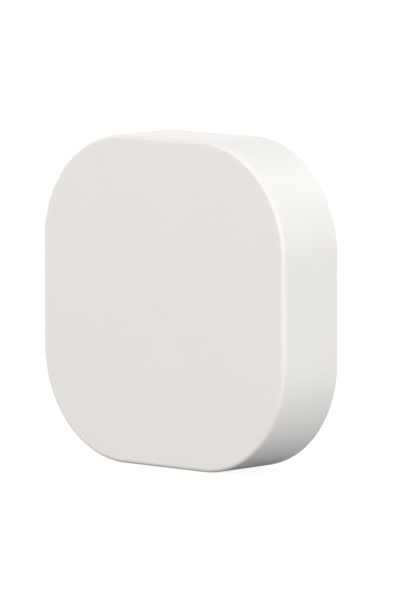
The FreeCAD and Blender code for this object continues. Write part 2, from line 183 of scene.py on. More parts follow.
class ShaderBoard(NodeBoard):
    """The nodes of one material, with the patterns that several finishes share."""

    def __init__(self, name: str) -> None:
        """Makes the material.

        Args:
            name: The material's name.
        """
        self.material = bpy.data.materials.new(name)
        self.material.use_nodes = True
        super().__init__(self.material.node_tree)
        self.shader = self.tree.nodes["Principled BSDF"]
        self.place = self.add("ShaderNodeTexCoord").outputs["Object"]

    def set(self, **values: Any) -> None:
        """Writes or links inputs of the shader, whose names have _ for a space."""
        for name, value in values.items():
            self.join(value, self.shader.inputs[name.replace("_", " ")])

    def soften(self, weight: float, colour: Colour, reach: float) -> None:
        """Lets light enter the surface, up to a reach in millimetres."""
        self.set(Subsurface_Weight=weight, Subsurface_Radius=colour, Subsurface_Scale=reach * MM)

    def axes(self, vector: Socket | None = None) -> Node:
        """The X, Y and Z of a place on the object."""
        return self.add("ShaderNodeSeparateXYZ", {0: vector or self.place})

    def scaled(self, scale: Point3, centre: Point3 = (0.0, 0.0, 0.0)) -> Socket:
        """Object coordinates, moved and stretched.

        Args:
            scale: Stretch along the axes.
            centre: The new origin, in millimetres.

        Returns:
            The coordinates.
        """
        shift = tuple(-place * MM * size for place, size in zip(centre, scale))
        inputs = {"Vector": self.place, "Location": shift, "Scale": scale}
        return self.first("ShaderNodeMapping", inputs)

    def noise(
        self, size: float, detail: float = 2.0, vector: Socket | None = None, rough: float = 0.5
    ) -> Socket:
        """Noise, from 0 to 1, whose blobs are about this size in millimetres."""
        inputs = {"Scale": 1 / (size * MM), "Detail": detail, "Roughness": rough}
        return self.first("ShaderNodeTexNoise", inputs | {"Vector": vector or self.place})

    def cells(self, size: float, vector: Socket | None = None) -> Socket:
        """Distance in a Voronoi pattern whose cells are about this size in millimetres."""
        inputs = {"Vector": vector or self.place, "Scale": 1 / (size * MM)}
        return self.first("ShaderNodeTexVoronoi", inputs)

    def spread(
        self, value: Any, start: float = 0.3, end: float = 0.7, low: float = 0.0, high: float = 1.0
    ) -> Socket:
        """Maps a value from start..end to low..high and holds it there."""
        return self.first("ShaderNodeMapRange", {0: value, 1: start, 2: end, 3: low, 4: high})

    def below(self, value: Any, limit: float, soft: float) -> Socket:
        """1 up to a limit and 0 from a little past it, both in millimetres."""
        return self.spread(value, limit * MM, (limit + soft) * MM, 1.0, 0.0)

    def tint(self, factor: Any, first: Any, second: Any) -> Socket:
        """Mix of two colours.

        Args:
            factor: 0 for the first and 1 for the second.
            first: A colour or a socket.
            second: A colour or a socket.

        Returns:
            The mixed colour.
        """
        first, second = ((*c, 1.0) if isinstance(c, tuple) else c for c in (first, second))
        inputs = {"Factor_Float": factor, "A_Color": first, "B_Color": second}
        return self.add("ShaderNodeMix", inputs, data_type="RGBA").outputs[2]

    def blend(self, first: Any, second: Any, share: float) -> Socket:
        """Sum of two values, with the first one's share given."""
        parts = self.maths("MULTIPLY", first, share), self.maths("MULTIPLY", second, 1 - share)
        return self.maths("ADD", *parts)

    def relief(
        self, height: Socket, depth: float, strength: float = 1.0, under: Socket | None = None
    ) -> Socket:
        """Bump on top of an earlier one.

        Args:
            height: The pattern, from 0 to 1.
            depth: How deep it is, in millimetres.
            strength: How much of it shows.
            under: Normal of the earlier bump.

        Returns:
            The normal.
        """
        earlier = {} if under is None else {"Normal": under}
        inputs = {"Height": height, "Distance": depth * MM, "Strength": strength}
        return self.first("ShaderNodeBump", inputs | earlier)


# Finishes


@dataclass(frozen=True)
class Finish:
    """How one kind of surface looks.

    Attributes:
        name: Name of the material.
        slot: The record's slot that it stands for; not used.
        colour: Main colour, linear.
        roughness: Roughness at the middle of its range.
    """

    name: str
    slot: Slot
    colour: Colour
    roughness: float

    def material(self) -> bpy.types.Material:
        """Finds the material, or makes it at its first use.

        Returns:
            The material.
        """
        found = bpy.data.materials.get(self.name)
        if found is None:
            board = ShaderBoard(self.name)
            board.set(Base_Color=(*self.colour, 1.0), Roughness=self.roughness)
            self.shade(board)
            found = board.material
        return found

    def shade(self, board: ShaderBoard) -> None:
        """Adds the finish's own nodes."""

    def shaded(self, share: float) -> Colour:
        """The main colour made darker or lighter by a factor."""
        return tuple(min(part * share, 1.0) for part in self.colour)

    def toned(
        self, board: ShaderBoard, pattern: Socket, start: float, end: float, share: float
    ) -> Socket:
        """The main colour, shaded where a pattern rises from start to end."""
        return board.tint(board.spread(pattern, start, end), self.colour, self.shaded(share))

    def gloss(self, board: ShaderBoard, pattern: Socket, less: float, more: float) -> Socket:
        """Roughness that follows a pattern from below its middle to above it."""
        return board.spread(pattern, low=self.roughness - less, high=self.roughness + more)


@dataclass(frozen=True)
class MouldedPlastic(Finish):
    """Moulded plastic with an eroded grain.

    Attributes:
        grain: Size of the grain in millimetres.
        grain_depth: Its depth in millimetres.
        mottle: Share by which the tone wanders.
        glow: Weight of the light that enters the plastic.
        handling: How much the gloss wanders where hands have been.
    """

    grain: float = 0.14
    grain_depth: float = 0.004
    mottle: float = 0.012
    glow: float = 0.0
    handling: float = 0.05

    def shade(self, board: ShaderBoard) -> None:
        """Adds grain, a faint flow of tone, and gloss that wanders.

        Args:
            board: The material's nodes.
        """
        grain = board.noise(self.grain, rough=0.6)
        flow = board.spread(board.blend(board.noise(9.0, 3.0), board.noise(0.6), 0.7))
        touch = board.blend(board.noise(5.0, 4.0), grain, 0.6)
        wave = board.relief(board.noise(2.4, 1.0), self.grain_depth, 0.35)
        board.set(
            Base_Color=board.tint(flow, self.shaded(1 - self.mottle), self.shaded(1 + self.mottle)),
            Roughness=self.gloss(board, touch, self.handling, self.handling),
            Normal=board.relief(grain, self.grain_depth, 0.8, wave),
        )
        if self.glow > 0:
            board.soften(self.glow, (1.0, 0.9, 0.8), 0.5)


@dataclass(frozen=True)
class Silicone(Finish):
    """Soft, faintly translucent silicone with a bloom of dust."""

    def shade(self, board: ShaderBoard) -> None:
        """Adds dust specks, a soft skin and light that enters the rubber.

        Args:
            board: The material's nodes.
        """
        board.set(
            Base_Color=self.toned(board, board.noise(0.12, 3.0), 0.62, 0.75, 1.15),
            Roughness=self.gloss(board, board.noise(1.5, 3.0), 0.08, 0.08),
            Normal=board.relief(board.noise(0.2), 0.004, 0.6),
        )
        board.soften(0.3, (1.0, 0.95, 0.85), 1.0)


@dataclass(frozen=True)
class ClearPlastic(Finish):
    """Clear moulded plastic with faint flow lines."""

    def shade(self, board: ShaderBoard) -> None:
        """Adds flow lines along the depth and a trace of haze.

        Args:
            board: The material's nodes.
        """
        flow = board.noise(0.5, 3.0, board.scaled((1.0, 0.15, 1.0)))
        board.set(
            Transmission_Weight=1.0,
            IOR=1.49,
            Roughness=self.gloss(board, flow, self.roughness / 2, self.roughness / 2),
            Normal=board.relief(flow, 0.01, 0.3),
        )


@dataclass(frozen=True)
class BrushedMetal(Finish):
    """Metal sheet with fine rolling or brushing lines.

    Attributes:
        brush: Direction of the lines.
        line: Width of a line in millimetres.
    """

    brush: Brush = Brush.ALONG_X
    line: float = 0.05

    def shade(self, board: ShaderBoard) -> None:
        """Adds lines in the gloss and the surface, under a cloudy tarnish.

        Args:
            board: The material's nodes.
        """
        lines = board.noise(self.line, 3.0, board.scaled(self.brush.value), 0.6)
        board.set(
            Metallic=1.0,
            Base_Color=self.toned(board, board.noise(1.8, 3.0), 0.35, 0.7, 0.86),
            Roughness=self.gloss(board, lines, 0.07, 0.1),
            Normal=board.relief(lines, 0.002, 0.5),
        )


@dataclass(frozen=True)
class SpunSteel(Finish):
    """Drawn steel of a coin cell, with rings from the die round the depth axis.

    Attributes:
        face: Depth of the face that a sign is pressed into.
        sign_depth: How deep the sign is, or 0 where there is none.
        sign_limit: Distance from the axis within which the sign lies.
    """

    face: float = 0.0
    sign_depth: float = 0.0
    sign_limit: float = 8.0

    def shade(self, board: ShaderBoard) -> None:
        """Adds rings with painted sheen, light handling marks, fine scratches and painted shade in
        the sign.

        Args:
            board: The material's nodes.
        """
        radius = board.vector_maths("LENGTH", board.scaled((1.0, 0.0, 1.0))).outputs["Value"]
        rings = board.blend(self.rings(board, radius, 0.07), self.rings(board, radius, 0.6), 0.4)
        marks = board.noise(3.0, 4.0)
        scratch = board.noise(0.05, 2.0, board.scaled((1.0, 1.0, 0.04)))
        # Painted sheen: the rings make the colour lighter and darker, standing in for their
        # reflection; their gloss and bumps are real.
        tone = board.tint(board.spread(rings, 0.35, 0.65), self.shaded(0.84), self.shaded(1.04))
        tone = board.tint(board.spread(marks, 0.45, 0.75, 0.0, 0.3), tone, self.shaded(0.85))
        # Painted shade: where the sign is sunk below the face, the colour is darkened to 0.45 of
        # the steel's.
        if self.sign_depth > 0:
            sign_shade = board.below(board.axes().outputs[1], self.face - self.sign_depth, 0.02)
            within = board.below(radius, self.sign_limit, 0.1)
            tone = board.tint(board.maths("MULTIPLY", sign_shade, within), tone, self.shaded(0.45))
        board.set(
            Metallic=1.0,
            Base_Color=tone,
            Roughness=self.gloss(board, board.blend(rings, marks, 0.7), 0.08, 0.12),
            Normal=board.relief(
                board.spread(scratch, 0.68, 0.74), 0.001, 0.4, board.relief(rings, 0.003, 0.7)
            ),
        )

    @staticmethod
    def rings(board: ShaderBoard, radius: Socket, width: float) -> Socket:
        """Rings about this many millimetres wide."""
        inputs = {"W": radius, "Scale": 1 / (width * MM), "Detail": 3.0}
        return board.first("ShaderNodeTexNoise", inputs, noise_dimensions="1D")


@dataclass(frozen=True)
class PlatedScrew(Finish):
    """Nickel-plated steel with a fine plating grain."""

    def shade(self, board: ShaderBoard) -> None:
        """Adds plating grain and rubbed patches.

        Args:
            board: The material's nodes.
        """
        rubbed = board.noise(0.7)
        board.set(
            Metallic=1.0,
            Base_Color=self.toned(board, rubbed, 0.35, 0.7, 0.8),
            Roughness=self.gloss(board, rubbed, 0.08, 0.1),
            Normal=board.relief(board.noise(0.06, 3.0), 0.003, 0.5),
        )


@dataclass(frozen=True)
class AcrylicFoam(Finish):
    """Closed-cell foam tape: fine cells at its cut edge under a tacky skin."""

    def shade(self, board: ShaderBoard) -> None:
        """Adds cells of two sizes, a soft drift of tone and a low tacky gloss.

        Args:
            board: The material's nodes.
        """
        cells = board.cells(0.34)
        depth = board.blend(cells, board.cells(0.16), 0.6)
        drift = board.spread(board.noise(7.0, 3.0), high=0.35)
        tone = board.tint(board.spread(depth, 0.15, 0.6), self.shaded(0.9), self.shaded(1.03))
        board.set(
            Base_Color=board.tint(drift, tone, self.shaded(0.93)),
            Roughness=board.spread(cells, 0.1, 0.6, self.roughness + 0.1, self.roughness - 0.06),
            Normal=board.relief(depth, 0.03, 0.7, board.relief(board.noise(1.3), 0.03, 0.5)),
        )
        board.soften(0.15, (1.0, 1.0, 0.95), 0.4)


@dataclass(frozen=True)
class MouldingResin(Finish):
    """Black moulding resin with a fine speckle of filler."""

    def shade(self, board: ShaderBoard) -> None:
        """Adds speckle in colour, gloss and surface.

        Args:
            board: The material's nodes.
        """
        filler = board.noise(0.05, 3.0, rough=0.7)
        board.set(
            Base_Color=self.toned(board, filler, 0.45, 0.8, 2.2),
            Roughness=self.gloss(board, filler, 0.06, 0.08),
            Normal=board.relief(filler, 0.004, 0.7),
        )


@dataclass(frozen=True)
class TinnedCeramic(Finish):
    """Small ceramic part whose ends are dipped in tin, as the mesh's own attribute says."""

    tin: Colour = (0.62, 0.61, 0.59)

    def shade(self, board: ShaderBoard) -> None:
        """Adds a glazed body, and rippled tin at the ends.

        Args:
            board: The material's nodes.
        """
        ends = board.add("ShaderNodeAttribute", attribute_name=TINNED).outputs["Fac"]
        ripple = board.noise(0.12)
        body = self.toned(board, board.noise(0.06, 3.0), 0.35, 0.7, 0.8)
        board.set(
            Metallic=ends,
            Base_Color=board.tint(ends, body, self.tin),
            Roughness=self.gloss(board, ripple, 0.0, 0.12),
            Normal=board.relief(ripple, 0.01, 0.5),
        )


@dataclass(frozen=True)
class SolderMask(Finish):
    """Green mask over copper tracks, with bare pads round the screw holes and a laminate edge.

    Attributes:
        screw_place: Distance of the screw holes from the middle, on both axes.
        pad_radius: Outer radius of the bare ring round each hole.
        front: Depth of the board's front face.
        rear: Depth of its rear face.
        bare: Colour of bare copper under its gold flash.
        laminate: Colour of the board's edge.
    """

    screw_place: float = 12.4
    pad_radius: float = 1.75
    front: float = -6.6
    rear: float = -5.6
    bare: Colour = (0.78, 0.56, 0.28)
    laminate: Colour = (0.36, 0.34, 0.18)

    def shade(self, board: ShaderBoard) -> None:
        """Adds tracks, drilled holes, pads and laminate, each with its own colour and gloss.

        Args:
            board: The material's nodes.
        """
        across = board.scaled((1.0, 0.0, 1.0))
        x, y, z = board.axes().outputs
        tracks = [self.tracks(board, {0: x, 1: z}, 1.0), self.tracks(board, {0: z, 1: x}, 1.3)]
        region = board.spread(board.noise(6.0, 1.0, across), 0.46, 0.5)
        track = board.first("ShaderNodeMix", {0: region, 2: tracks[0], 3: tracks[1]})
        via = board.spread(board.cells(2.6, across), 0.1, 0.12, 1.0, 0.0)
        weave = board.noise(0.3, 2.0, board.scaled((1.0, 1.0, 0.3)))
        mask = board.tint(track, self.colour, self.shaded(2.1))
        mask = board.tint(board.spread(weave, high=0.25), mask, self.shaded(0.7))
        folded = board.vector_maths("ABSOLUTE", across).outputs[0]
        hole = (self.screw_place * MM, 0.0, self.screw_place * MM)
        distance = board.vector_maths("DISTANCE", folded, hole).outputs["Value"]
        pad = board.below(distance, self.pad_radius, 0.03)
        surface = board.tint(pad, board.tint(via, mask, self.bare), self.bare)
        middle, half = (self.front + self.rear) / 2, (self.rear - self.front) / 2
        depth = board.maths("ABSOLUTE", board.maths("SUBTRACT", y, middle * MM))
        edge = board.below(depth, half - 0.08, 0.02)
        inside = board.maths("SUBTRACT", 1.0, edge)
        board.set(
            Metallic=board.maths("MULTIPLY", board.maths("MAXIMUM", pad, via), inside),
            Base_Color=board.tint(edge, surface, self.laminate),
            Roughness=board.spread(edge, 0.0, 1.0, self.roughness, 0.75),
            Normal=board.relief(weave, 0.004, 0.4, board.relief(track, 0.03, 0.8)),
        )

    @staticmethod
    def tracks(board: ShaderBoard, axes: Inputs, size: float) -> Socket:
        """Thin tracks between staggered blocks.

        Args:
            board: The material's nodes.
            axes: The two coordinates that they follow.
            size: Scale of the blocks.

        Returns:
            1 on a track and 0 beside it.
        """
        inputs = {"Vector": board.first("ShaderNodeCombineXYZ", axes), "Scale": 1 / MM}
        inputs |= {"Mortar Size": 0.11 * size, "Mortar Smooth": 0.0}
        inputs |= {"Brick Width": 4.2 * size, "Row Height": 0.55 * size}
        return board.add("ShaderNodeTexBrick", inputs).outputs["Fac"]


@dataclass(frozen=True)
class LampResin(Finish):
    """White housing of a small light with a round phosphor window.

    Attributes:
        centre: X and Z of the window.
        window: Radius of the window.
        body_half: Half the length of the housing between its tinned ends.
        tin: Colour of the ends.
    """

    centre: Point2 = (0.0, 0.0)
    window: float = 0.42
    body_half: float = 0.8
    tin: Colour = (0.7, 0.68, 0.6)

    def shade(self, board: ShaderBoard) -> None:
        """Adds a phosphor window, a milky body and tinned ends.

        Args:
            board: The material's nodes.
        """
        local = board.scaled((1.0, 0.0, 1.0), (self.centre[0], 0.0, self.centre[1]))
        radius = board.vector_maths("LENGTH", local).outputs["Value"]
        grain = board.noise(0.05)
        phosphor = board.tint(board.spread(grain), (0.86, 0.68, 0.12), (0.9, 0.76, 0.25))
        body = board.tint(board.below(radius, self.window, 0.03), self.colour, phosphor)
        along = board.maths("ABSOLUTE", board.axes(local).outputs[0])
        ends = board.spread(along, self.body_half * MM, (self.body_half + 0.02) * MM)
        board.set(
            Metallic=ends,
            Base_Color=board.tint(ends, body, self.tin),
            Normal=board.relief(grain, 0.003, 0.4),
            Coat_Weight=0.4,
        )


@dataclass(frozen=True)
class CanLid(Finish):
    """Bright lid on a dark ceramic base, parted at a depth.

    Attributes:
        seam: Depth of the seam between lid and base.
        ceramic: Colour of the base.
    """

    seam: float = -6.8
    ceramic: Colour = (0.07, 0.065, 0.06)

    def shade(self, board: ShaderBoard) -> None:
        """Adds a brushed lid over a matt base.

        Args:
            board: The material's nodes.
        """
        lid = board.below(board.axes().outputs[1], self.seam - 0.005, 0.01)
        lines = board.noise(0.05, 3.0, board.scaled((0.04, 1.0, 1.0)))
        board.set(
            Metallic=lid,
            Base_Color=board.tint(lid, self.ceramic, self.colour),
            Roughness=self.gloss(board, lines, 0.05, 0.08),
            Normal=board.relief(lines, 0.002, 0.4),
        )


CAP_WHITE = MouldedPlastic(
    "satin_white_moulding", Slot.CAP, (0.82, 0.805, 0.785), 0.46,
    grain=0.12, grain_depth=0.003, mottle=0.006, glow=0.08,
)
CHASSIS_WHITE = MouldedPlastic(
    "plain_white_moulding", Slot.CHASSIS, (0.72, 0.715, 0.7), 0.5, grain=0.2
)
COVER_WHITE = MouldedPlastic(
    "grained_white_moulding", Slot.COVER, (0.78, 0.77, 0.75), 0.52, grain=0.22, grain_depth=0.008
)
FRAME_WHITE = MouldedPlastic(
    "frame_white_moulding", Slot.FRAME, (0.76, 0.755, 0.74), 0.5, grain=0.25
)
GASKET_NYLON = MouldedPlastic(
    "natural_nylon", Slot.GASKET, (0.6, 0.59, 0.55), 0.48, grain=0.1, glow=0.2
)
STEM_DARK = MouldedPlastic(
    "stem_moulding", Slot.STEM, (0.045, 0.045, 0.048), 0.4, grain=0.1, mottle=0.15
)
SWITCH_DARK = MouldedPlastic(
    "switch_moulding", Slot.SWITCH_PLASTIC, (0.022, 0.022, 0.023), 0.45, mottle=0.2
)
PAD_SILICONE = Silicone("grey_silicone", Slot.SILICONE, (0.52, 0.52, 0.5), 0.55)
GUIDE_CLEAR = ClearPlastic("clear_guide", Slot.CLEAR, (0.95, 0.96, 0.96), 0.1)
PAD_FOAM = AcrylicFoam("foam_tape", Slot.FOAM, (0.6, 0.6, 0.585), 0.62)
SCREW_NICKEL = PlatedScrew("nickel_plate", Slot.SCREW, (0.6, 0.59, 0.57), 0.3)
CORE_GREY = PlatedScrew("cell_core_grey", Slot.CORE, (0.28, 0.28, 0.29), 0.6)
CHIP_BLACK = MouldingResin("chip_resin_black", Slot.CHIP, (0.018, 0.018, 0.019), 0.5)
CAPACITOR_TAN = TinnedCeramic("tan_ceramic", Slot.CAPACITOR, (0.36, 0.23, 0.13), 0.3)
RESISTOR_BLACK = TinnedCeramic("black_film", Slot.RESISTOR, (0.025, 0.025, 0.03), 0.28)
COPPER_GOLD = BrushedMetal("gold_flashed_copper", Slot.COPPER, (0.8, 0.53, 0.26), 0.28, line=0.08)
SPRING_NICKEL = BrushedMetal(
    "spring_sheet", Slot.SPRING, (0.62, 0.6, 0.54), 0.27, Brush.ALONG_Z, 0.06
)
SWITCH_BRIGHT = BrushedMetal("stamped_sheet", Slot.SWITCH_STEEL, (0.66, 0.66, 0.65), 0.24)
CELL_STEEL = SpunSteel("drawn_steel", Slot.CELL, (0.62, 0.615, 0.6), 0.26)


# Meshes


def linked(name: str, data: Any) -> Object:
    """Puts a mesh, a lamp or a camera into the scene.

    Args:
        name: Name of the object.
        data: What it holds.

    Returns:
        The new object.
    """
    obj = bpy.data.objects.new(name, data)
    bpy.context.scene.collection.objects.link(obj)
    return obj


@contextmanager
def edited(obj: Object) -> Iterator[bmesh.types.BMesh]:
    """Opens an object's mesh for an edit and writes it back afterwards.

    Args:
        obj: The object.

    Returns:
        The open mesh.
    """
    work = bmesh.new()
    work.from_mesh(obj.data)
    yield work
    work.to_mesh(obj.data)
    work.free()


def smooth(obj: Object) -> Object:
    """Shades an object smooth, apart from its sharp edges.

    Args:
        obj: The object.

    Returns:
        The same object.
    """
    obj.data.shade_smooth()
    obj.data.set_sharp_from_angle(angle=SMOOTH_ANGLE)
    return obj


def faced(obj: Object) -> Object:
    """Merges an object's doubles, turns its faces outwards and shades it smooth.

    Args:
        obj: The object.

    Returns:
        The same object.
    """
    with edited(obj) as work:
        bmesh.ops.remove_doubles(work, verts=work.verts, dist=MERGE)
        bmesh.ops.recalc_face_normals(work, faces=work.faces)
    return smooth(obj)


def open_edges(obj: Object) -> int:
    """How many edges of the mesh don't have exactly two faces."""
    uses = Counter(key for face in obj.data.polygons for key in face.edge_keys)
    return sum(uses[edge.key] != 2 for edge in obj.data.edges)


def modified(obj: Object, kind: str, **settings: Any) -> Object:
    """Adds a modifier.

    Args:
        obj: The object.
        kind: Type name of the modifier.
        settings: Values for its properties.

    Returns:
        The same object.
    """
    modifier = obj.modifiers.new(kind, kind)
    for name, value in settings.items():
        setattr(modifier, name, value)
    return obj


def remade(obj: Object) -> Object:
    """Works an object's modifiers into a plain mesh.

    Args:
        obj: The object.

    Returns:
        The same object.
    """
    bpy.context.view_layer.update()
    graph = bpy.context.evaluated_depsgraph_get()
    shaped = obj.evaluated_get(graph)
    mesh = bpy.data.meshes.new_from_object(shaped, preserve_all_data_layers=True, depsgraph=graph)
    old = obj.data
    obj.modifiers.clear()
    obj.data = mesh
    bpy.data.meshes.remove(old)
    return obj


def combined(target: Object, tools: Sequence[Object], cut: Cut) -> Object:
    """Adds closed solids to the target or cuts them out of it.

    Args:
        target: The solid that is worked on.
        tools: The solids that go in; they are removed afterwards.
        cut: Whether they are added or cut out.

    Returns:
        The target.
    """
    for tool in tools:
        modified(target, "BOOLEAN", operation=cut.value, solver="EXACT", object=tool)
    remade(target)
    for tool in tools:
        bpy.data.objects.remove(tool)
    return faced(target)


def evened(obj: Object) -> Object:
    """The object with its modifiers worked in, and its large flat faces shaded flat."""
    return remade(modified(obj, "WEIGHTED_NORMAL", keep_sharp=True))


def bevelled(obj: Object, width: float, segments: int = 2) -> Object:
    """The closed object with its sharp edges rounded to a width in millimetres."""
    limits = {"limit_method": "ANGLE", "angle_limit": BEVEL_ANGLE, "miter_outer": "MITER_ARC"}
    return evened(modified(obj, "BEVEL", width=width * MM, segments=segments, **limits))


def bridged(first: Sequence[int], second: Sequence[int]) -> list[list[int]]:
    """Joins two closed rows of points with faces.

    Args:
        first: Numbers of the first row's points, or one number for a tip.
        second: Those of the second row.

    Returns:
        The faces.
    """
    count = max(len(first), len(second))
    faces = []
    for here in range(count):
        ahead = (here + 1) % count
        corners = [first[here % len(first)], first[ahead % len(first)]]
        corners += [second[ahead % len(second)], second[here % len(second)]]
        faces.append(list(dict.fromkeys(corners)))
    return faces


def loft(name: str, rings: Iterable[Iterable[Sequence[float]]], closed: bool = False) -> Object:
    """Makes a closed skin over rows of points.

    Args:
        name: Name of the object.
        rings: The rows, each with as many points as the others, or one point for a tip.
        closed: Whether the last row joins the first; otherwise the ends are faced.

    Returns:
        The object, whose faces point outwards.
    """
    points: list[Vector] = []
    rows: list[list[int]] = []
    for ring in rings:
        start = len(points)
        points += [Vector(point) * MM for point in ring]
        rows.append(list(range(start, len(points))))
    pairs = [*zip(rows, rows[1:]), *([(rows[-1], rows[0])] if closed else [])]
    faces = [face for pair in pairs for face in bridged(*pair)]
    if not closed:
        faces += [row for row in (rows[0], rows[-1]) if len(row) > 2]
    mesh = bpy.data.meshes.new(name)
    mesh.from_pydata(points, [], faces)
    return faced(linked(name, mesh))


def softened(points: Sequence[Point2], radius: float, steps: int = 4) -> list[Point2]:
    """Rounds an outline's inner corners and holds each by a point on both sides.

    Args:
        points: Corners of an open outline.
        radius: Radius of the rounding, smaller where a leg is short.
        steps: Faces in each rounding.

    Returns:
        The finer outline.
    """
    finer = [points[0]]
    for before, corner, after in zip(points, points[1:], points[2:]):
        here = Vector(corner)
        back, ahead = Vector(before) - here, Vector(after) - here
        turn = math.pi - back.angle(ahead)
        if turn < STRAIGHT_ANGLE:
            finer.append(corner)
            continue
        short = min(back.length, ahead.length)
        reach = min(radius * math.tan(turn / 2), LEG_SHARE * short)
        hold = min(HOLD_BY_ROUNDING * reach + HOLD_LEAST, HOLD_SHARE * short)
        back, ahead = back.normalized(), ahead.normalized()
        start, end = here + back * reach, here + ahead * reach
        finer.append(tuple(start + back * hold))
        for step in range(steps + 1):
            share = step / steps
            weights = (1 - share) ** 2, 2 * share * (1 - share) * math.cos(turn / 2), share ** 2
            blend = start * weights[0] + here * weights[1] + end * weights[2]
            finer.append(tuple(blend / sum(weights)))
        finer.append(tuple(end + ahead * hold))
    return finer + [points[-1]]


def rounded_rectangle(
    half_x: float, half_z: float, radius: float, y: float, steps: int
) -> list[Vector]:
    """Lays one row round a rectangle with rounded corners, at a depth.

    Args:
        half_x: Half the width.
        half_z: Half the height.
        radius: Radius of the corners.
        y: The depth.
        steps: Faces in each corner.

    Returns:
        The points, with one on each straight close to each corner.
    """
    hold = HOLD_LEAST + HOLD_BY_STRAIGHT * min(half_x - radius, half_z - radius)
    row = []
    for quarter, (right, up) in enumerate(((1, 1), (-1, 1), (-1, -1), (1, -1))):
        start = quarter * math.pi / 2
        centre = Vector(((half_x - radius) * right, y, (half_z - radius) * up))
        turns = [start + step / steps * math.pi / 2 for step in range(steps + 1)]
        arc = [centre + Vector((math.cos(turn), 0, math.sin(turn))) * radius for turn in turns]
        leading = Vector((math.sin(start), 0, -math.cos(start))) * hold
        trailing = Vector((-math.cos(start), 0, -math.sin(start))) * hold
        row += [arc[0] + leading, *arc, arc[-1] + trailing]
    return row


def slab(
    name: str, halves: Point2, radius: float, profile: Sequence[Point2], steps: int = 24
) -> Object:
    """Makes a closed rounded slab on the depth axis, whose side follows a profile.

    Args:
        name: Name of the object.
        halves: Half its width and half its height.
        radius: Radius of its corners.
        profile: Inset from the outline and depth, from the middle of one face to the other.
        steps: Faces in each corner.

    Returns:
        The object.
    """
    rings = []
    for inset, y in profile:
        half_x, half_z = halves[0] - inset, halves[1] - inset
        rings.append(rounded_rectangle(half_x, half_z, max(radius - inset, 0.01), y, steps))
    return loft(name, rings)


def lathe(
    name: str, profile: Sequence[Point2], steps: int = 96, place: Point2 = (0.0, 0.0),
    closed: bool = False,
) -> Object:
    """Turns a solid round an axis along the depth.

    Args:
        name: Name of the object.
        profile: Radius and depth; a radius of 0 is a tip.
        steps: Faces round the axis.
        place: X and Z of the axis.
        closed: Whether the profile closes on itself, as for a ring.

    Returns:
        The object.
    """
    x, z = place
    turns = [step / steps * math.tau for step in range(steps)]
    rings = []
    for radius, y in profile:
        row = [(x + radius * math.cos(turn), y, z + radius * math.sin(turn)) for turn in turns]
        rings.append([(x, y, z)] if radius < TIP else row)
    return loft(name, rings, closed)


def pin_marks(
    face: float, inward: int, place: float, radius: float = 1.5, depth: float = 0.06
) -> list[Object]:
    """Makes the tools for the four round marks that ejector pins leave on a face.

    Args:
        face: Depth of the face.
        inward: 1 where the piece lies in +Y from the face, and -1 where it lies in -Y.
        place: Distance of the marks from the middle, on both axes.
        radius: Radius of a mark.
        depth: How deep it is.

    Returns:
        The tools.
    """
    floor, outside, rim = face + inward * depth, face - inward, radius + depth
    outline = [(0, floor), (radius, floor), (rim, face), (rim, outside), (0, outside)]
    return [lathe("mark", outline, 40, (x * place, z * place)) for x in (-1, 1) for z in (-1, 1)]


def turned(obj: Object, angle: float) -> Object:
    """The object with its mesh turned about the depth axis, in degrees."""
    obj.data.transform(Matrix.Rotation(math.radians(angle), 4, "Y"))
    return obj


def on_sides(make: Callable[[], Object]) -> list[Object]:
    """One object for each of the four sides, turned into place."""
    return [turned(make(), 90.0 * side) for side in range(4)]


def solid_copy(node: str, bevel: float, segments: int = 2) -> Object:
    """Copies a CAD node's mesh, merged, with flat faces whole and sharp edges rounded.

    Args:
        node: Name of the node.
        bevel: Width of the rounding in millimetres.
        segments: Faces across the rounding.

    Returns:
        The new object.
    """
    obj = linked(node, frame["nodes"][node].data.copy())
    with edited(obj) as work:
        bmesh.ops.remove_doubles(work, verts=work.verts, dist=MERGE)
        bmesh.ops.dissolve_limit(work, angle_limit=FLAT_ANGLE, verts=work.verts, edges=work.edges)
    return bevelled(smooth(obj), bevel, segments)


# Geometry Nodes


class GeometryBoard(NodeBoard):
    """A Geometry Nodes tree with named inputs."""

    def __init__(self, name: str, kinds: dict[str, str]) -> None:
        """Makes the tree, with a geometry in front of its inputs and a material behind them.

        Args:
            name: Name of the tree.
            kinds: Kind of each named input.
        """
        super().__init__(bpy.data.node_groups.new(name, "GeometryNodeTree"))
        self.keys = {}
        for label, kind in ({"Geometry": "Geometry"} | kinds | {"Material": "Material"}).items():
            self.keys[label] = self.face(label, kind, "INPUT")
        self.face("Geometry", "Geometry", "OUTPUT")
        self.given = self.add("NodeGroupInput").outputs

    def face(self, label: str, kind: str, side: str) -> str:
        """Adds a socket to the tree's outside and returns its identifier."""
        kind = "NodeSocket" + kind
        return self.tree.interface.new_socket(name=label, in_out=side, socket_type=kind).identifier

    def close(self, geometry: Socket) -> None:
        """Ends the tree in plain geometry with its material.

        Args:
            geometry: What the tree made.
        """
        plain = self.first("GeometryNodeRealizeInstances", {"Geometry": geometry})
        inputs = {"Geometry": plain, "Material": self.given["Material"]}
        self.add("NodeGroupOutput", {"Geometry": self.first("GeometryNodeSetMaterial", inputs)})

    def run(self, host: Object, values: dict[str, Any]) -> Object:
        """Works the tree into the host's mesh.

        Args:
            host: Object whose mesh goes in.
            values: Value of each named input.

        Returns:
            The host, with a plain mesh and no modifier.
        """
        modifier = host.modifiers.new(self.tree.name, "NODES")
        modifier.node_group = self.tree
        for label, value in values.items():
            modifier[self.keys[label]] = value
        return faced(remade(host))


@dataclass(frozen=True)
class Scatter:
    """How unevenly repeated parts lie.

    Attributes:
        turn: Most that a part is turned, in degrees.
        shift: Most that a part is out of place.
        seed: Seed of the turns and shifts.
    """

    turn: float
    shift: float
    seed: int


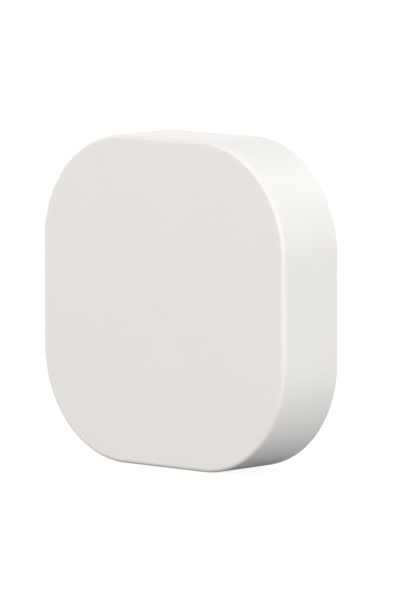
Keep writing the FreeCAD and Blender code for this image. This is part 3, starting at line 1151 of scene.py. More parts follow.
class PartGrid:
    """Sets copies of one part in rows and columns, each a little turned and shifted."""

    def __init__(self) -> None:
        """Builds the tree."""
        floats = ("Column Pitch", "Row Pitch", "Centre X", "Centre Z", "Turn", "Shift")
        kinds = {"Part": "Object", "Columns": "Int", "Rows": "Int"} | dict.fromkeys(floats, "Float")
        board = self.board = GeometryBoard("part_grid", kinds | {"Seed": "Int"})
        given = board.given
        index = board.first("GeometryNodeInputIndex")
        column = board.maths("MODULO", index, given["Columns"])
        row = board.maths("FLOOR", board.maths("DIVIDE", index, given["Columns"]))
        middles = {0: self.along(column, "Column", "X"), 2: self.along(row, "Row", "Z")}
        shift = self.random((1.0, 0.0, 1.0), "Shift", 0.0)
        middle = board.first("ShaderNodeCombineXYZ", middles)
        place = board.vector_maths("ADD", middle, shift).outputs[0]
        part = board.add("GeometryNodeObjectInfo", {"Object": given["Part"]})
        count = board.maths("MULTIPLY", given["Columns"], given["Rows"])
        inputs = {
            "Points": board.first("GeometryNodePoints", {"Count": count, "Position": place}),
            "Instance": part.outputs["Geometry"],
            "Rotation": self.random((0.0, 1.0, 0.0), "Turn", 1.0),
        }
        board.close(board.first("GeometryNodeInstanceOnPoints", inputs))

    def along(self, index: Socket, line: str, axis: str) -> Socket:
        """Finds the place of a column or row about the centre.

        Args:
            index: Its number.
            line: Whether it is a Column or a Row.
            axis: The axis that it is placed on.

        Returns:
            The place on that axis.
        """
        board, given = self.board, self.board.given
        middle = board.maths("MULTIPLY", board.maths("SUBTRACT", given[line + "s"], 1.0), 0.5)
        steps = board.maths("SUBTRACT", index, middle)
        offset = board.maths("MULTIPLY", steps, given[line + " Pitch"])
        return board.maths("ADD", offset, given["Centre " + axis])

    def random(self, axes: Point3, reach: str, extra: float) -> Socket:
        """Draws a random vector for each part.

        Args:
            axes: 1 for each axis that it may have a share of.
            reach: Named input that says how far it goes on both sides.
            extra: Added to the seed.

        Returns:
            The vector.
        """
        board = self.board
        seed = board.maths("ADD", board.given["Seed"], extra)
        inputs = {"Min": tuple(-value for value in axes), "Max": axes, "Seed": seed}
        drawn = board.first("FunctionNodeRandomValue", inputs, data_type="FLOAT_VECTOR")
        inputs = {0: drawn, "Scale": board.given[reach]}
        return board.first("ShaderNodeVectorMath", inputs, operation="SCALE")

    def lay(
        self, part: Object, grid: tuple[int, int], pitch: Point2, centre: Point2, finish: Finish,
        scatter: Scatter,
    ) -> Object:
        """Lays out the copies.

        Args:
            part: One part, with its axis through the origin; it is removed afterwards.
            grid: Columns and rows.
            pitch: Distances between columns and between rows.
            centre: X and Z of the middle of the grid.
            finish: What the parts are made of.
            scatter: How unevenly they lie.

        Returns:
            One plain mesh of all the copies.
        """
        host = loft("grid", [[(0, 0, 0)], [(1, 0, 0), (0, 1, 0), (0, 0, 1)]])
        result = self.board.run(host, {
            "Part": part, "Columns": grid[0], "Rows": grid[1], "Column Pitch": pitch[0] * MM,
            "Row Pitch": pitch[1] * MM, "Centre X": centre[0] * MM, "Centre Z": centre[1] * MM,
            "Turn": math.radians(scatter.turn), "Shift": scatter.shift * MM, "Seed": scatter.seed,
            "Material": finish.material(),
        })
        bpy.data.objects.remove(part)
        return result


class BentStrip:
    """Bends flat strip along a path, with rounded bends."""

    def __init__(self) -> None:
        """Builds the tree."""
        kinds = {"Width": "Float", "Sheet": "Float", "Bend Radius": "Float"}
        kinds |= {"Width Direction": "Vector", "Bend Steps": "Int"}
        board = self.board = GeometryBoard("bent_strip", kinds)
        given = board.given
        path = board.first("GeometryNodeMeshToCurve", {0: given["Geometry"]})
        inputs = {"Curve": path, "Radius": given["Bend Radius"], "Count": given["Bend Steps"]}
        path = board.first("GeometryNodeFilletCurve", inputs | {"Limit Radius": True}, mode="POLY")
        inputs = {"Curve": path, "Normal": given["Width Direction"]}
        path = board.first("GeometryNodeSetCurveNormal", inputs, mode="FREE")
        inputs = {"Width": given["Width"], "Height": given["Sheet"]}
        section = board.first("GeometryNodeCurvePrimitiveQuadrilateral", inputs)
        inputs = {"Curve": path, "Profile Curve": section, "Fill Caps": True}
        board.close(board.first("GeometryNodeCurveToMesh", inputs))

    def bend(
        self, paths: Sequence[Sequence[Point3]], width: float, sheet: float, radius: float,
        finish: Finish, flat: bool = False,
    ) -> Object:
        """Makes one or more strips of the same section.

        Args:
            paths: Corner points of each strip's middle line.
            width: Width of the strip.
            sheet: Its thickness.
            radius: Radius of its bends.
            finish: What it is made of.
            flat: Whether it lies flat on the board; otherwise its width is upright.

        Returns:
            One plain mesh of all the strips.
        """
        points: list[Vector] = []
        edges = []
        for path in paths:
            start = len(points)
            points += [Vector(point) * MM for point in path]
            edges += [(index, index + 1) for index in range(start, len(points) - 1)]
        mesh = bpy.data.meshes.new("strip")
        mesh.from_pydata(points, edges, [])
        across, deep = (sheet, width) if flat else (width, sheet)
        return self.board.run(linked("strip", mesh), {
            "Width": across * MM, "Sheet": deep * MM, "Bend Radius": radius * MM, "Bend Steps": 5,
            "Width Direction": (0.0, 1.0, 0.0) if flat else (0.0, 0.0, 1.0),
            "Material": finish.material(),
        })


# Pieces


@dataclass(frozen=True)
class Extent:
    """Box of one CAD node at rest, in millimetres."""

    x0: float
    x1: float
    y0: float
    y1: float
    z0: float
    z1: float

    @classmethod
    def of(cls, node: str) -> "Extent":
        """Reads a node's box from the frame, to a ten-thousandth of a millimetre."""
        low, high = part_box(node)
        return cls(*(round(value / MM, 4) for pair in zip(low, high) for value in pair))

    @property
    def middle(self) -> Point2:
        """X and Z of the middle."""
        return ((self.x0 + self.x1) / 2, (self.z0 + self.z1) / 2)

    @property
    def half(self) -> float:
        """Half the width."""
        return (self.x1 - self.x0) / 2


class Workbench:
    """Dresses pieces and sets them on the bodies of their nodes."""

    def __init__(self) -> None:
        """Reads which body each node belongs to, and makes the two trees."""
        groups = frame["record"]["behaviour"]["bodies"]
        self.body_of = {node: body for body, nodes in groups.items() for node in nodes}
        self.grid = PartGrid()
        self.strip = BentStrip()
        self.count = 0

    def fit(self, piece: Object, node: str, finish: Finish) -> Object:
        """Gives a finished piece its material and puts it in its node's place.

        Args:
            piece: The finished mesh.
            node: The node that it stands for.
            finish: What it is made of.

        Returns:
            The piece.
        """
        piece.name = node + ".fine"
        piece.data.name = piece.name
        piece.data.materials.clear()
        piece.data.materials.append(finish.material())
        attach(piece, self.body_of[node])
        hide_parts(node)
        self.count += 1
        report = (piece.name, len(piece.data.polygons), open_edges(piece), self.body_of[node])
        log.info("%s: %d faces, %d open edges, on %s", *report)
        return piece

    def refine(self, node: str, finish: Finish, bevel: float, segments: int = 2) -> Object:
        """Fits a finer copy of a CAD node, with its edges rounded, in the node's place."""
        return self.fit(solid_copy(node, bevel, segments), node, finish)

    def dress(self, node: str, finish: Finish) -> None:
        """Gives a CAD node that stays its material.

        Args:
            node: The node.
            finish: What it is made of.
        """
        materials = frame["nodes"][node].data.materials
        for index in range(len(materials)):
            materials[index] = finish.material()
        self.count += 1
        log.info("%s: CAD mesh kept", node)


@dataclass
class Assembly:
    """Pieces that are made together.

    Attributes:
        bench: The workbench that dresses them.
    """

    bench: Workbench


@dataclass
class Cap(Assembly):
    """The white shell that is pressed, and the silicone pad inside it.

    Attributes:
        root: How deep posts, ribs and catches start inside the wall.
        face_core: Share of the half width at which the skin's outline starts.
    """

    corner: float = 15.1
    wall: float = 1.5
    front_edge: float = 0.55
    rear_edge: float = 0.3
    inner_edge: float = 0.35
    lip_edge: float = 0.12
    root: float = 0.4
    post_radius: float = 2.6
    post_length: float = 0.6
    pad_thickness: float = 0.75
    peg_radius: float = 0.8
    peg_gap: float = 0.05
    mouth_edge: float = 0.1
    pin_radius: float = 1.1
    pin_place: float = 15.2
    pin_board_gap: float = 0.7
    rib_width: float = 0.8
    barb_set_back: float = 3.2
    barb_length: float = 1.0
    barb_flat: float = 0.35
    barb_width: float = 5.0
    barb_proud: float = 0.8
    corner_steps: int = 40
    edge_steps: int = 12
    face_core: float = 0.4
    post_edge: float = 0.1
    pin_edge: float = 0.25
    barb_edge: float = 0.08
    rib_edge: float = 0.12
    pad_edge: float = 0.18

    def __post_init__(self) -> None:
        """Reads the places from the frame."""
        shell, pad = Extent.of("cap_shell"), Extent.of("press_pad")
        self.half, self.front, self.rear, self.pad = shell.x1, shell.y0, shell.y1, pad
        self.post_end = pad.y1 - self.pad_thickness
        self.inside = self.post_end - self.post_length
        self.pin_end = Extent.of("circuit_board").y0 - self.pin_board_gap
        self.catch = Extent.of("chassis_tub").y1 - self.barb_set_back

    def skin(self) -> Object:
        """Makes the outer and inner surface of the shell in one closed skin.

        Returns:
            The skin.
        """
        core, edge, rim = self.half * self.face_core, (0.0, self.rear), (self.wall / 2, self.rear)
        face, floor = [(core, self.front), (0.0, self.front)], (self.wall, self.inside)
        outer = softened([*face, edge], self.front_edge, self.edge_steps)
        outer = outer[:-1] + softened([outer[-2], edge, rim], self.rear_edge, steps=6)[1:]
        inner = softened([rim, (self.wall, self.rear), floor], self.lip_edge, steps=3)
        ceiling = softened([inner[-2], floor, (core, self.inside)], self.inner_edge, steps=5)
        profile = outer + inner[1:-1] + ceiling[1:]
        return slab("shell", (self.half, self.half), self.corner, profile, self.corner_steps)

    def round_boss(self, radius: float, end: float, soft: float, x: float = 0.0) -> Object:
        """Makes a round bar from inside the front wall to a depth.

        Args:
            radius: Its radius.
            end: The depth that it ends at.
            soft: Radius of the rounding at its end.
            x: Its place to the right of the middle.

        Returns:
            The bar.
        """
        start = self.inside - self.root
        outline = [(0, start), (radius, start), (radius, end), (0, end)]
        return lathe("boss", softened(outline, soft), steps=56, place=(x, 0.0))

    def bore(self) -> Object:
        """Makes the tool for the pad's peg, wider at its mouth.

        Returns:
            The tool.
        """
        hole, depth = self.peg_radius + self.peg_gap, self.pad.y0 - self.peg_gap
        wide, mouth, outside = hole + self.mouth_edge, self.post_end, self.post_end + 1
        outline = [(0, depth), (hole, depth), (hole, mouth - self.mouth_edge), (wide, mouth)]
        return lathe("bore", [*outline, (wide, outside), (0, outside)], steps=48)

    def barb(self) -> Object:
        """Makes the catch on the inside of the right wall.

        Returns:
            The catch.
        """
        wall, front = self.half - self.wall, self.catch
        nose, flat, rear = wall - self.barb_proud, front + self.barb_flat, front + self.barb_length
        slope = (rear - flat) / self.barb_proud
        deep, deep_rear = wall + self.root, rear + self.root * slope
        outline = [(deep, front), (nose, front), (nose, flat), (deep, deep_rear)]
        ends = (-self.barb_width / 2, self.barb_width / 2)
        rings = [[(x, y, z) for x, y in outline] for z in ends]
        return bevelled(loft("barb", rings), self.barb_edge)

    def rib(self, angle: float) -> Object:
        """Makes a stiffening rib across the inside of the front.

        Args:
            angle: How far it is turned, in degrees.

        Returns:
            The rib.
        """
        half, front, rear = self.rib_width / 2, self.inside - self.root, self.post_end
        corners = [(-half, front), (-half, rear), (half, rear), (half, front)]
        outline = softened(corners, self.rib_edge, steps=3)
        ends = (-self.pin_place, self.pin_place)
        return turned(loft("rib", [[(x, y, z) for z, y in outline] for x in ends]), angle)

    def build(self) -> None:
        """Makes and dresses the shell and the pad."""
        post = self.round_boss(self.post_radius, self.post_end, self.post_edge)
        pin = (self.pin_radius, self.pin_end, self.pin_edge, self.pin_place)
        pins = on_sides(lambda: self.round_boss(*pin))
        inner = [self.rib(45), self.rib(135), post, *pins, *on_sides(self.barb)]
        shell = combined(combined(self.skin(), inner, Cut.ADD), [self.bore()], Cut.REMOVE)
        self.bench.fit(shell, "cap_shell", CAP_WHITE)
        peg, pad, seat = self.peg_radius, self.pad, self.post_end
        outline = [(0, pad.y0), (peg, pad.y0), (peg, seat), (pad.half, seat), (pad.half, pad.y1)]
        outline = softened([*outline, (0, pad.y1)], self.pad_edge)
        self.bench.fit(lathe("pad", outline, steps=64), "press_pad", PAD_SILICONE)


@dataclass
class BackPlate(Assembly):
    """Cover of the battery bay and the foam pad in its recess.

    Attributes:
        ripple_inset: What is taken off the ripple's noise, so that it stays mostly inside.
        face_profile: Inset and share of the pinch, from the middle of a face to its edge.
    """

    cover_edge: float = 0.1
    cover_gap: float = 0.05
    mark_place: float = 11.0
    corner: float = 10.1
    pinch: float = 0.07
    bulge: float = 0.06
    bulge_depth: float = 0.16
    ripple: float = 0.04
    ripple_size: float = 1.7
    ripple_reach: float = 3.0
    ripple_inset: float = 0.5
    long_edge: float = 2.0
    long_cuts: int = 11
    face_profile: tuple[Point2, ...] = (
        (9.0, 0.0), (4.0, 0.0), (1.6, 0.1), (0.8, 0.35), (0.4, 0.7), (0.18, 1.0)
    )

    def pad(self) -> Object:
        """Makes the foam pad, pinched and a little uneven along its die-cut edge.

        Returns:
            The pad.
        """
        pad = Extent.of("adhesive_pad")
        face, deep = self.face_profile, self.bulge_depth
        front = [(inset, pad.y0 + self.pinch * share) for inset, share in face]
        rear = [(inset, pad.y1 - self.pinch * share) for inset, share in reversed(face)]
        middle = (0.0, (pad.y0 + pad.y1) / 2)
        side = [(self.bulge, pad.y0 + deep), middle, (self.bulge, pad.y1 - deep)]
        foam = slab("foam", (pad.half, pad.half), self.corner, front + side + rear, steps=40)
        start, long_edge = (pad.half - self.ripple_reach) * MM, self.long_edge * MM
        with edited(foam) as work:
            edges = [edge for edge in work.edges if edge.calc_length() > long_edge]
            bmesh.ops.subdivide_edges(work, edges=edges, cuts=self.long_cuts, use_grid_fill=True)
            for vertex in work.verts:
                x, _, z = vertex.co
                if max(abs(x), abs(z)) > start:
                    wave = noise.noise(vertex.co / (self.ripple_size * MM)) - self.ripple_inset
                    vertex.co += Vector((x, 0, z)).normalized() * self.ripple * MM * wave
        return faced(foam)

    def build(self) -> None:
        """Makes and dresses the cover and its pad."""
        marks = pin_marks(Extent.of("chassis_tub").y1 + self.cover_gap, 1, self.mark_place)
        cover = evened(combined(solid_copy("back_cover", self.cover_edge), marks, Cut.REMOVE))
        self.bench.fit(cover, "back_cover", COVER_WHITE)
        self.bench.fit(self.pad(), "adhesive_pad", PAD_FOAM)


@dataclass
class Chassis(Assembly):
    """Tub and frame that hold the board, with their screws and the light guide.

    Attributes:
        thread_rise: How fast the thread gets deeper from its ends.
        flank: How steep the thread's sides are.
        crown: Radius and depth of the head's dome, as shares of the head's.
        turn_reach: Most that a screw is turned, in degrees.
    """

    tub_edge: float = 0.12
    frame_edge: float = 0.1
    head_radius: float = 1.6
    head_height: float = 0.9
    shank_radius: float = 0.85
    taper_length: float = 0.7
    taper: float = 0.4
    plain_length: float = 0.6
    thread_pitch: float = 0.55
    thread_depth: float = 0.16
    thread_rise: float = 2.0
    flank: float = 3.2
    thread_rows: int = 110
    thread_steps: int = 28
    recess_reach: float = 0.95
    recess_half: float = 0.22
    recess_depth: float = 0.45
    recess_edge: float = 0.06
    head_edge: float = 0.3
    crown: tuple[Point2, ...] = ((0.0, 0.0), (0.55, 0.0), (0.9, 0.22), (1.0, 0.55))
    turn_reach: float = 40.0
    turn_seed: int = 4
    guide_radius: float = 1.45
    guide_edge: float = 0.1
    flange_height: float = 0.4

    def __post_init__(self) -> None:
        """Reads the places from the frame."""
        self.screws = Extent.of("frame_screws")
        self.seat = self.screws.y0 + self.head_height
        self.screw_place = self.screws.x1 - self.head_radius

    def shank(self) -> Object:
        """Makes the threaded and tapered shank, which starts inside the head.

        Returns:
            The shank, on the origin's axis.
        """
        start = self.seat - self.head_height / 4
        length = self.screws.y1 - start
        rows = []
        for index in range(self.thread_rows + 1):
            run = index / self.thread_rows * length
            left = length - run
            outer = self.shank_radius - max(0.0, self.taper_length - left) * self.taper
            grip = min(max(0.0, min(run - self.plain_length, left)) * self.thread_rise, 1.0)
            row = []
            for step in range(self.thread_steps):
                share = step / self.thread_steps
                ridge = min(1.0, abs((run / self.thread_pitch - share) % 1.0 - 0.5) * self.flank)
                radius = outer - self.thread_depth * grip * ridge
                turn = share * math.tau
                row.append((radius * math.cos(turn), start + run, radius * math.sin(turn)))
            rows.append(row)
        return loft("shank", rows)

    def screw(self) -> Object:
        """Makes one pan-head screw with a cross recess.

        Returns:
            The screw, on the origin's axis.
        """
        radius, top, edge = self.head_radius, self.screws.y0, self.recess_edge
        outline = [(radius * across, top + self.head_height * down) for across, down in self.crown]
        outline = softened([*outline, (radius, self.seat), (0, self.seat)], self.head_edge, steps=5)
        head = lathe("head", outline, steps=56)
        low, high = top + self.recess_depth, top - self.head_height
        profile = [(edge, low), (0.0, low - edge), (-edge, high)]
        arms = ((self.recess_reach, self.recess_half), (self.recess_half, self.recess_reach))
        slots = [slab("slot", arm, edge, profile, steps=3) for arm in arms]
        return combined(combined(head, [self.shank()], Cut.ADD), slots, Cut.REMOVE)

    def build(self) -> None:
        """Makes and dresses the four pieces."""
        bench = self.bench
        marks = pin_marks(Extent.of("chassis_tub").y1, -1, self.screw_place)
        tub = evened(combined(solid_copy("chassis_tub", self.tub_edge), marks, Cut.REMOVE))
        bench.fit(tub, "chassis_tub", CHASSIS_WHITE)
        bench.refine("mid_frame", FRAME_WHITE, self.frame_edge)
        pitch, middle = (2 * self.screw_place, 2 * self.screw_place), self.screws.middle
        scatter = Scatter(self.turn_reach, 0.0, self.turn_seed)
        screws = bench.grid.lay(self.screw(), (2, 2), pitch, middle, SCREW_NICKEL, scatter)
        bench.fit(screws, "frame_screws", SCREW_NICKEL)
        guide = Extent.of("light_guide")
        wide, slim, neck = guide.half, self.guide_radius, guide.y0 + self.flange_height
        outline = [(0, guide.y0), (wide, guide.y0), (wide, neck), (slim, neck), (slim, guide.y1)]
        outline = softened([*outline, (0, guide.y1)], self.guide_edge)
        bench.fit(lathe("guide", outline, 56, guide.middle), "light_guide", GUIDE_CLEAR)


@dataclass
class Board(Assembly):
    """Circuit board with what is soldered to it, apart from the switches.

    Attributes:
        screw_place: Distance of the screws from the middle, for the bare rings round their holes.
    """

    screw_place: float
    pad_ring: float = 1.75
    lid_height: float = 0.5
    part_size: Point3 = (1.0, 0.5, 0.5)
    tin: float = 0.25
    waist: float = 0.03
    tin_step: float = 0.02
    part_edge: float = 0.04
    part_corner: float = 0.05
    part_turn: float = 2.5
    part_shift: float = 0.015
    antenna_width: float = 0.6
    antenna_fingers: int = 6
    antenna_bend: float = 0.32
    spring_sheet: float = 0.2
    spring_bend: float = 0.35
    knee: float = 5.5
    foot: float = 2.5
    board_edge: float = 0.04
    radio_edge: float = 0.05
    memory_edge: float = 0.06
    lid_edge: float = 0.12
    lamp_edge: float = 0.05

    def __post_init__(self) -> None:
        """Reads the places from the frame."""
        self.board = Extent.of("circuit_board")

    def passive(self) -> Object:
        """Makes one small two-ended part, with its ends marked as tinned.

        Returns:
            The part, on the origin's axis.
        """
        length, width, height = self.part_size
        half, tin, edge = length / 2, length / 2 - self.tin, self.part_edge
        stations = [(-half, edge), (edge - half, 0.0)]
        stations += [(-tin - self.tin_step, 0.0), (-tin, self.waist)]
        stations += [(-x, inset) for x, inset in reversed(stations)]
        rings = []
        for x, inset in stations:
            sides = width / 2 - inset, height / 2 - inset
            row = rounded_rectangle(*sides, self.part_corner, y=0.0, steps=3)
            rings.append([(x, self.board.y0 - height / 2 + point.x, point.z) for point in row])
        part = loft("part", rings)
        ends = part.data.attributes.new(TINNED, "FLOAT", "FACE")
        dipped = [float(abs(face.center.x) > tin * MM) for face in part.data.polygons]
        ends.data.foreach_set("value", dipped)
        return part

    def passives(self, node: str, grid: tuple[int, int], finish: Finish, seed: int) -> None:
        """Fills a node's box with rows and columns of small parts.

        Args:
            node: The node.
            grid: Columns and rows.
            finish: What the parts are made of.
            seed: Seed of their small turns and shifts.
        """
        box = Extent.of(node)
        spans = (box.x1 - box.x0 - self.part_size[0], box.z1 - box.z0 - self.part_size[1])
        pitch = tuple(span / max(count - 1, 1) for span, count in zip(spans, grid))
        scatter = Scatter(self.part_turn, self.part_shift, seed)
        parts = self.bench.grid.lay(self.passive(), grid, pitch, box.middle, finish, scatter)
        self.bench.fit(parts, node, finish)

    def antenna(self) -> None:
        """Makes and dresses the zigzag of the antenna."""
        foil, half = Extent.of("antenna_trace"), self.antenna_width / 2
        y = (foil.y0 + foil.y1) / 2
        pitch = (foil.x1 - foil.x0 - 2 * half) / self.antenna_fingers
        path = [(foil.x0 + half, y, foil.z0)]
        for index in range(self.antenna_fingers):
            x = foil.x0 + half + index * pitch
            z = foil.z0 + half if index % 2 else foil.z1 - half
            path += [(x, y, z), (x + pitch, y, z)]
        path.append((foil.x1 - half, y, foil.z1))
        section = self.antenna_width, foil.y1 - foil.y0, self.antenna_bend
        trace = self.bench.strip.bend([path], *section, COPPER_GOLD, flat=True)
        self.bench.fit(trace, "antenna_trace", COPPER_GOLD)

    def contacts(self) -> None:
        """Makes and dresses the two battery contacts."""
        strip, clip = Extent.of("battery_contact_negative"), Extent.of("battery_contact_positive")
        half = self.spring_sheet / 2
        high, low = strip.y1 - half, strip.y0 + half
        right = [(self.foot, low, 0.0), (self.knee, high, 0.0), (strip.x1, high, 0.0)]
        left = [(-x, y, z) for x, y, z in reversed(right)]
        side, top = clip.x1 - half, clip.y0 + half
        bent = [(side, clip.y1, 0.0), (side, top, 0.0), (clip.x0, top, 0.0)]
        for end, path, box in (("negative", left + right, strip), ("positive", bent, clip)):
            section = 2 * box.z1, self.spring_sheet, self.spring_bend
            spring = self.bench.strip.bend([path], *section, SPRING_NICKEL)
            self.bench.fit(spring, "battery_contact_" + end, SPRING_NICKEL)

    def build(self) -> None:
        """Makes and dresses the board and its parts."""
        bench, board = self.bench, self.board
        drilled = (self.screw_place, self.pad_ring, board.y0, board.y1)
        mask = SolderMask("green_mask", Slot.BOARD, (0.012, 0.1, 0.035), 0.28, *drilled)
        bench.refine("circuit_board", mask, self.board_edge)
        bench.refine("radio_chip", CHIP_BLACK, self.radio_edge)
        bench.refine("flash_memory", CHIP_BLACK, self.memory_edge)
        seam = Extent.of("crystal_oscillator").y0 + self.lid_height
        lid = CanLid("can_lid", Slot.CRYSTAL, (0.7, 0.68, 0.63), 0.25, seam)
        bench.refine("crystal_oscillator", lid, self.lid_edge, segments=3)
        window = Extent.of("status_led").middle
        lamp = LampResin("lamp_resin", Slot.LED, (0.78, 0.77, 0.72), 0.3, window)
        bench.refine("status_led", lamp, self.lamp_edge)
        self.passives("ceramic_capacitors", (2, 4), CAPACITOR_TAN, seed=7)
        self.passives("chip_resistors", (6, 1), RESISTOR_BLACK, seed=11)
        self.antenna()
        self.contacts()


@dataclass
class CoinCell(Assembly):
    """Coin cell: can with its sign, gasket, small pole and core.

    Attributes:
        sign_out: How far the sign's tool stands out of the face.
        sign_taper: Size of the tool at its floor and at its outer end.
    """

    wall: float = 0.25
    rear_edge: float = 0.45
    rim_edge: float = 0.08
    gasket_edge: float = 0.1
    pole_edge: float = 0.12
    sign_place: float = 4.4
    sign_reach: float = 1.7
    sign_half: float = 0.34
    sign_depth: float = 0.1
    sign_out: float = 0.2
    sign_taper: Point2 = (0.93, 1.1)

    def __post_init__(self) -> None:
        """Reads the places from the frame."""
        self.can_box, self.pole_box = Extent.of("coin_cell_can"), Extent.of("coin_cell_cap")

    def can(self) -> Object:
        """Makes the cup with a rounded rear edge and a plus sign pressed into its face.

        Returns:
            The cup.
        """
        box, reach, half = self.can_box, self.sign_reach, self.sign_half
        radius, inner, floor = box.half, box.half - self.wall, box.y1 - self.wall
        waist = (radius, (box.y0 + box.y1) / 2)
        rim = [(0, floor), (inner, floor), (inner, box.y0), (radius, box.y0), waist]
        back = softened([waist, (radius, box.y1), (0, box.y1)], self.rear_edge, steps=8)
        can = lathe("can", softened(rim, self.rim_edge, steps=3) + back[1:], steps=160)
        arm = [Vector(corner) for corner in ((reach, -half), (reach, half), (half, half))]
        turns = [Matrix.Rotation(quarter * math.pi / 2, 2) for quarter in range(4)]
        plus = [turn @ corner for turn in turns for corner in arm]
        depths = (box.y1 - self.sign_depth, box.y1 + self.sign_out)
        rings = [
            [(point.x * size, y, point.y * size + self.sign_place) for point in plus]
            for y, size in zip(depths, self.sign_taper)
        ]
        return combined(can, [loft("plus", rings)], Cut.REMOVE)

    def build(self) -> None:
        """Makes and dresses the four pieces."""
        bench, steel = self.bench, (CELL_STEEL.colour, CELL_STEEL.roughness)
        signed = SpunSteel("signed_steel", Slot.CELL, *steel, self.can_box.y1, self.sign_depth)
        bench.fit(self.can(), "coin_cell_can", signed)
        outer, inner = self.can_box.half - self.wall, self.pole_box.half
        low, high, middle = self.can_box.y0, self.pole_box.y1, (outer + inner) / 2
        ring = [(middle, low), (outer, low), (outer, high), (inner, high), (inner, low)]
        ring = softened([*ring, ring[0]], self.gasket_edge, steps=3)[:-1]
        gasket = lathe("gasket", ring, steps=128, closed=True)
        bench.fit(gasket, "coin_cell_gasket", GASKET_NYLON)
        hollow, front, floor = inner - self.wall, self.pole_box.y0, self.pole_box.y0 + self.wall
        pole = [(0, front), (inner, front), (inner, high), (hollow, high), (hollow, floor)]
        pole = softened([*pole, (0, floor)], self.pole_edge)
        bench.fit(lathe("pole", pole, steps=128), "coin_cell_cap", CELL_STEEL)
        bench.dress("coin_cell_core", CORE_GREY)


@dataclass
class TactSwitch(Assembly):
    """Small press switch: housing, steel cover, dome, stem and four terminals.

    Attributes:
        name: First part of its nodes' names.
        facing: -1 where it faces the front and 1 where it faces the wall.
    """

    name: str
    facing: int
    sheet: float = 0.2
    rise: float = 0.5
    leg_width: float = 0.7
    bend: float = 0.16
    housing_edge: float = 0.08
    cover_edge: float = 0.05
    stem_edge: float = 0.1

    def legs(self) -> list[list[Point3]]:
        """Finds the middle lines of the four terminals.

        Returns:
            Their corner points.
        """
        housing, legs = Extent.of(self.name + "_housing"), Extent.of(self.name + "_terminals")
        foot = housing.y1 if self.facing < 0 else housing.y0
        side, high, low = housing.half, self.rise + self.sheet / 2, self.sheet / 2
        drop = (side + legs.half - self.sheet) / 2
        line = [(side, high), (drop, high), (drop, low), (legs.half, low)]
        across = (legs.z1 - legs.z0 - self.leg_width) / 2
        x0, z0 = housing.middle
        return [
            [(x0 + end * x, foot + self.facing * y, z0 + row * across) for x, y in line]
            for end in (-1, 1) for row in (-1, 1)
        ]

    def build(self) -> None:
        """Makes and dresses the five pieces."""
        bench = self.bench
        bench.refine(self.name + "_housing", SWITCH_DARK, self.housing_edge)
        bench.refine(self.name + "_cover", SWITCH_BRIGHT, self.cover_edge)
        bench.refine(self.name + "_stem", STEM_DARK, self.stem_edge, segments=3)
        bench.dress(self.name + "_dome", SPRING_NICKEL)
        legs = bench.strip.bend(self.legs(), self.leg_width, self.sheet, self.bend, SPRING_NICKEL)
        bench.fit(legs, self.name + "_terminals", SPRING_NICKEL)


# Studio


@dataclass(frozen=True)
class Softbox:
    """Square soft lamp aimed at the button.

    Attributes:
        name: Name of the lamp.
        azimuth: Degrees round the button from the front, positive to the right.
        elevation: Degrees above it.
        level: Share of plain white that it gives a surface that faces it.
        width: Width in metres.
        distance: Distance in metres.
        colour: Colour of its light.
    """

    name: str
    azimuth: float
    elevation: float
    level: float
    width: float = 0.6
    distance: float = 1.0
    colour: Colour = (1.0, 1.0, 1.0)


def away(azimuth: float, elevation: float) -> Vector:
    """Finds a direction from the button.

    Args:
        azimuth: Degrees round the button from the front, positive to the right.
        elevation: Degrees above it.

    Returns:
        The direction, of length 1.
    """
    turn, rise = math.radians(azimuth), math.radians(elevation)
    level = math.cos(rise)
    return Vector((math.sin(turn) * level, -math.cos(turn) * level, math.sin(rise)))


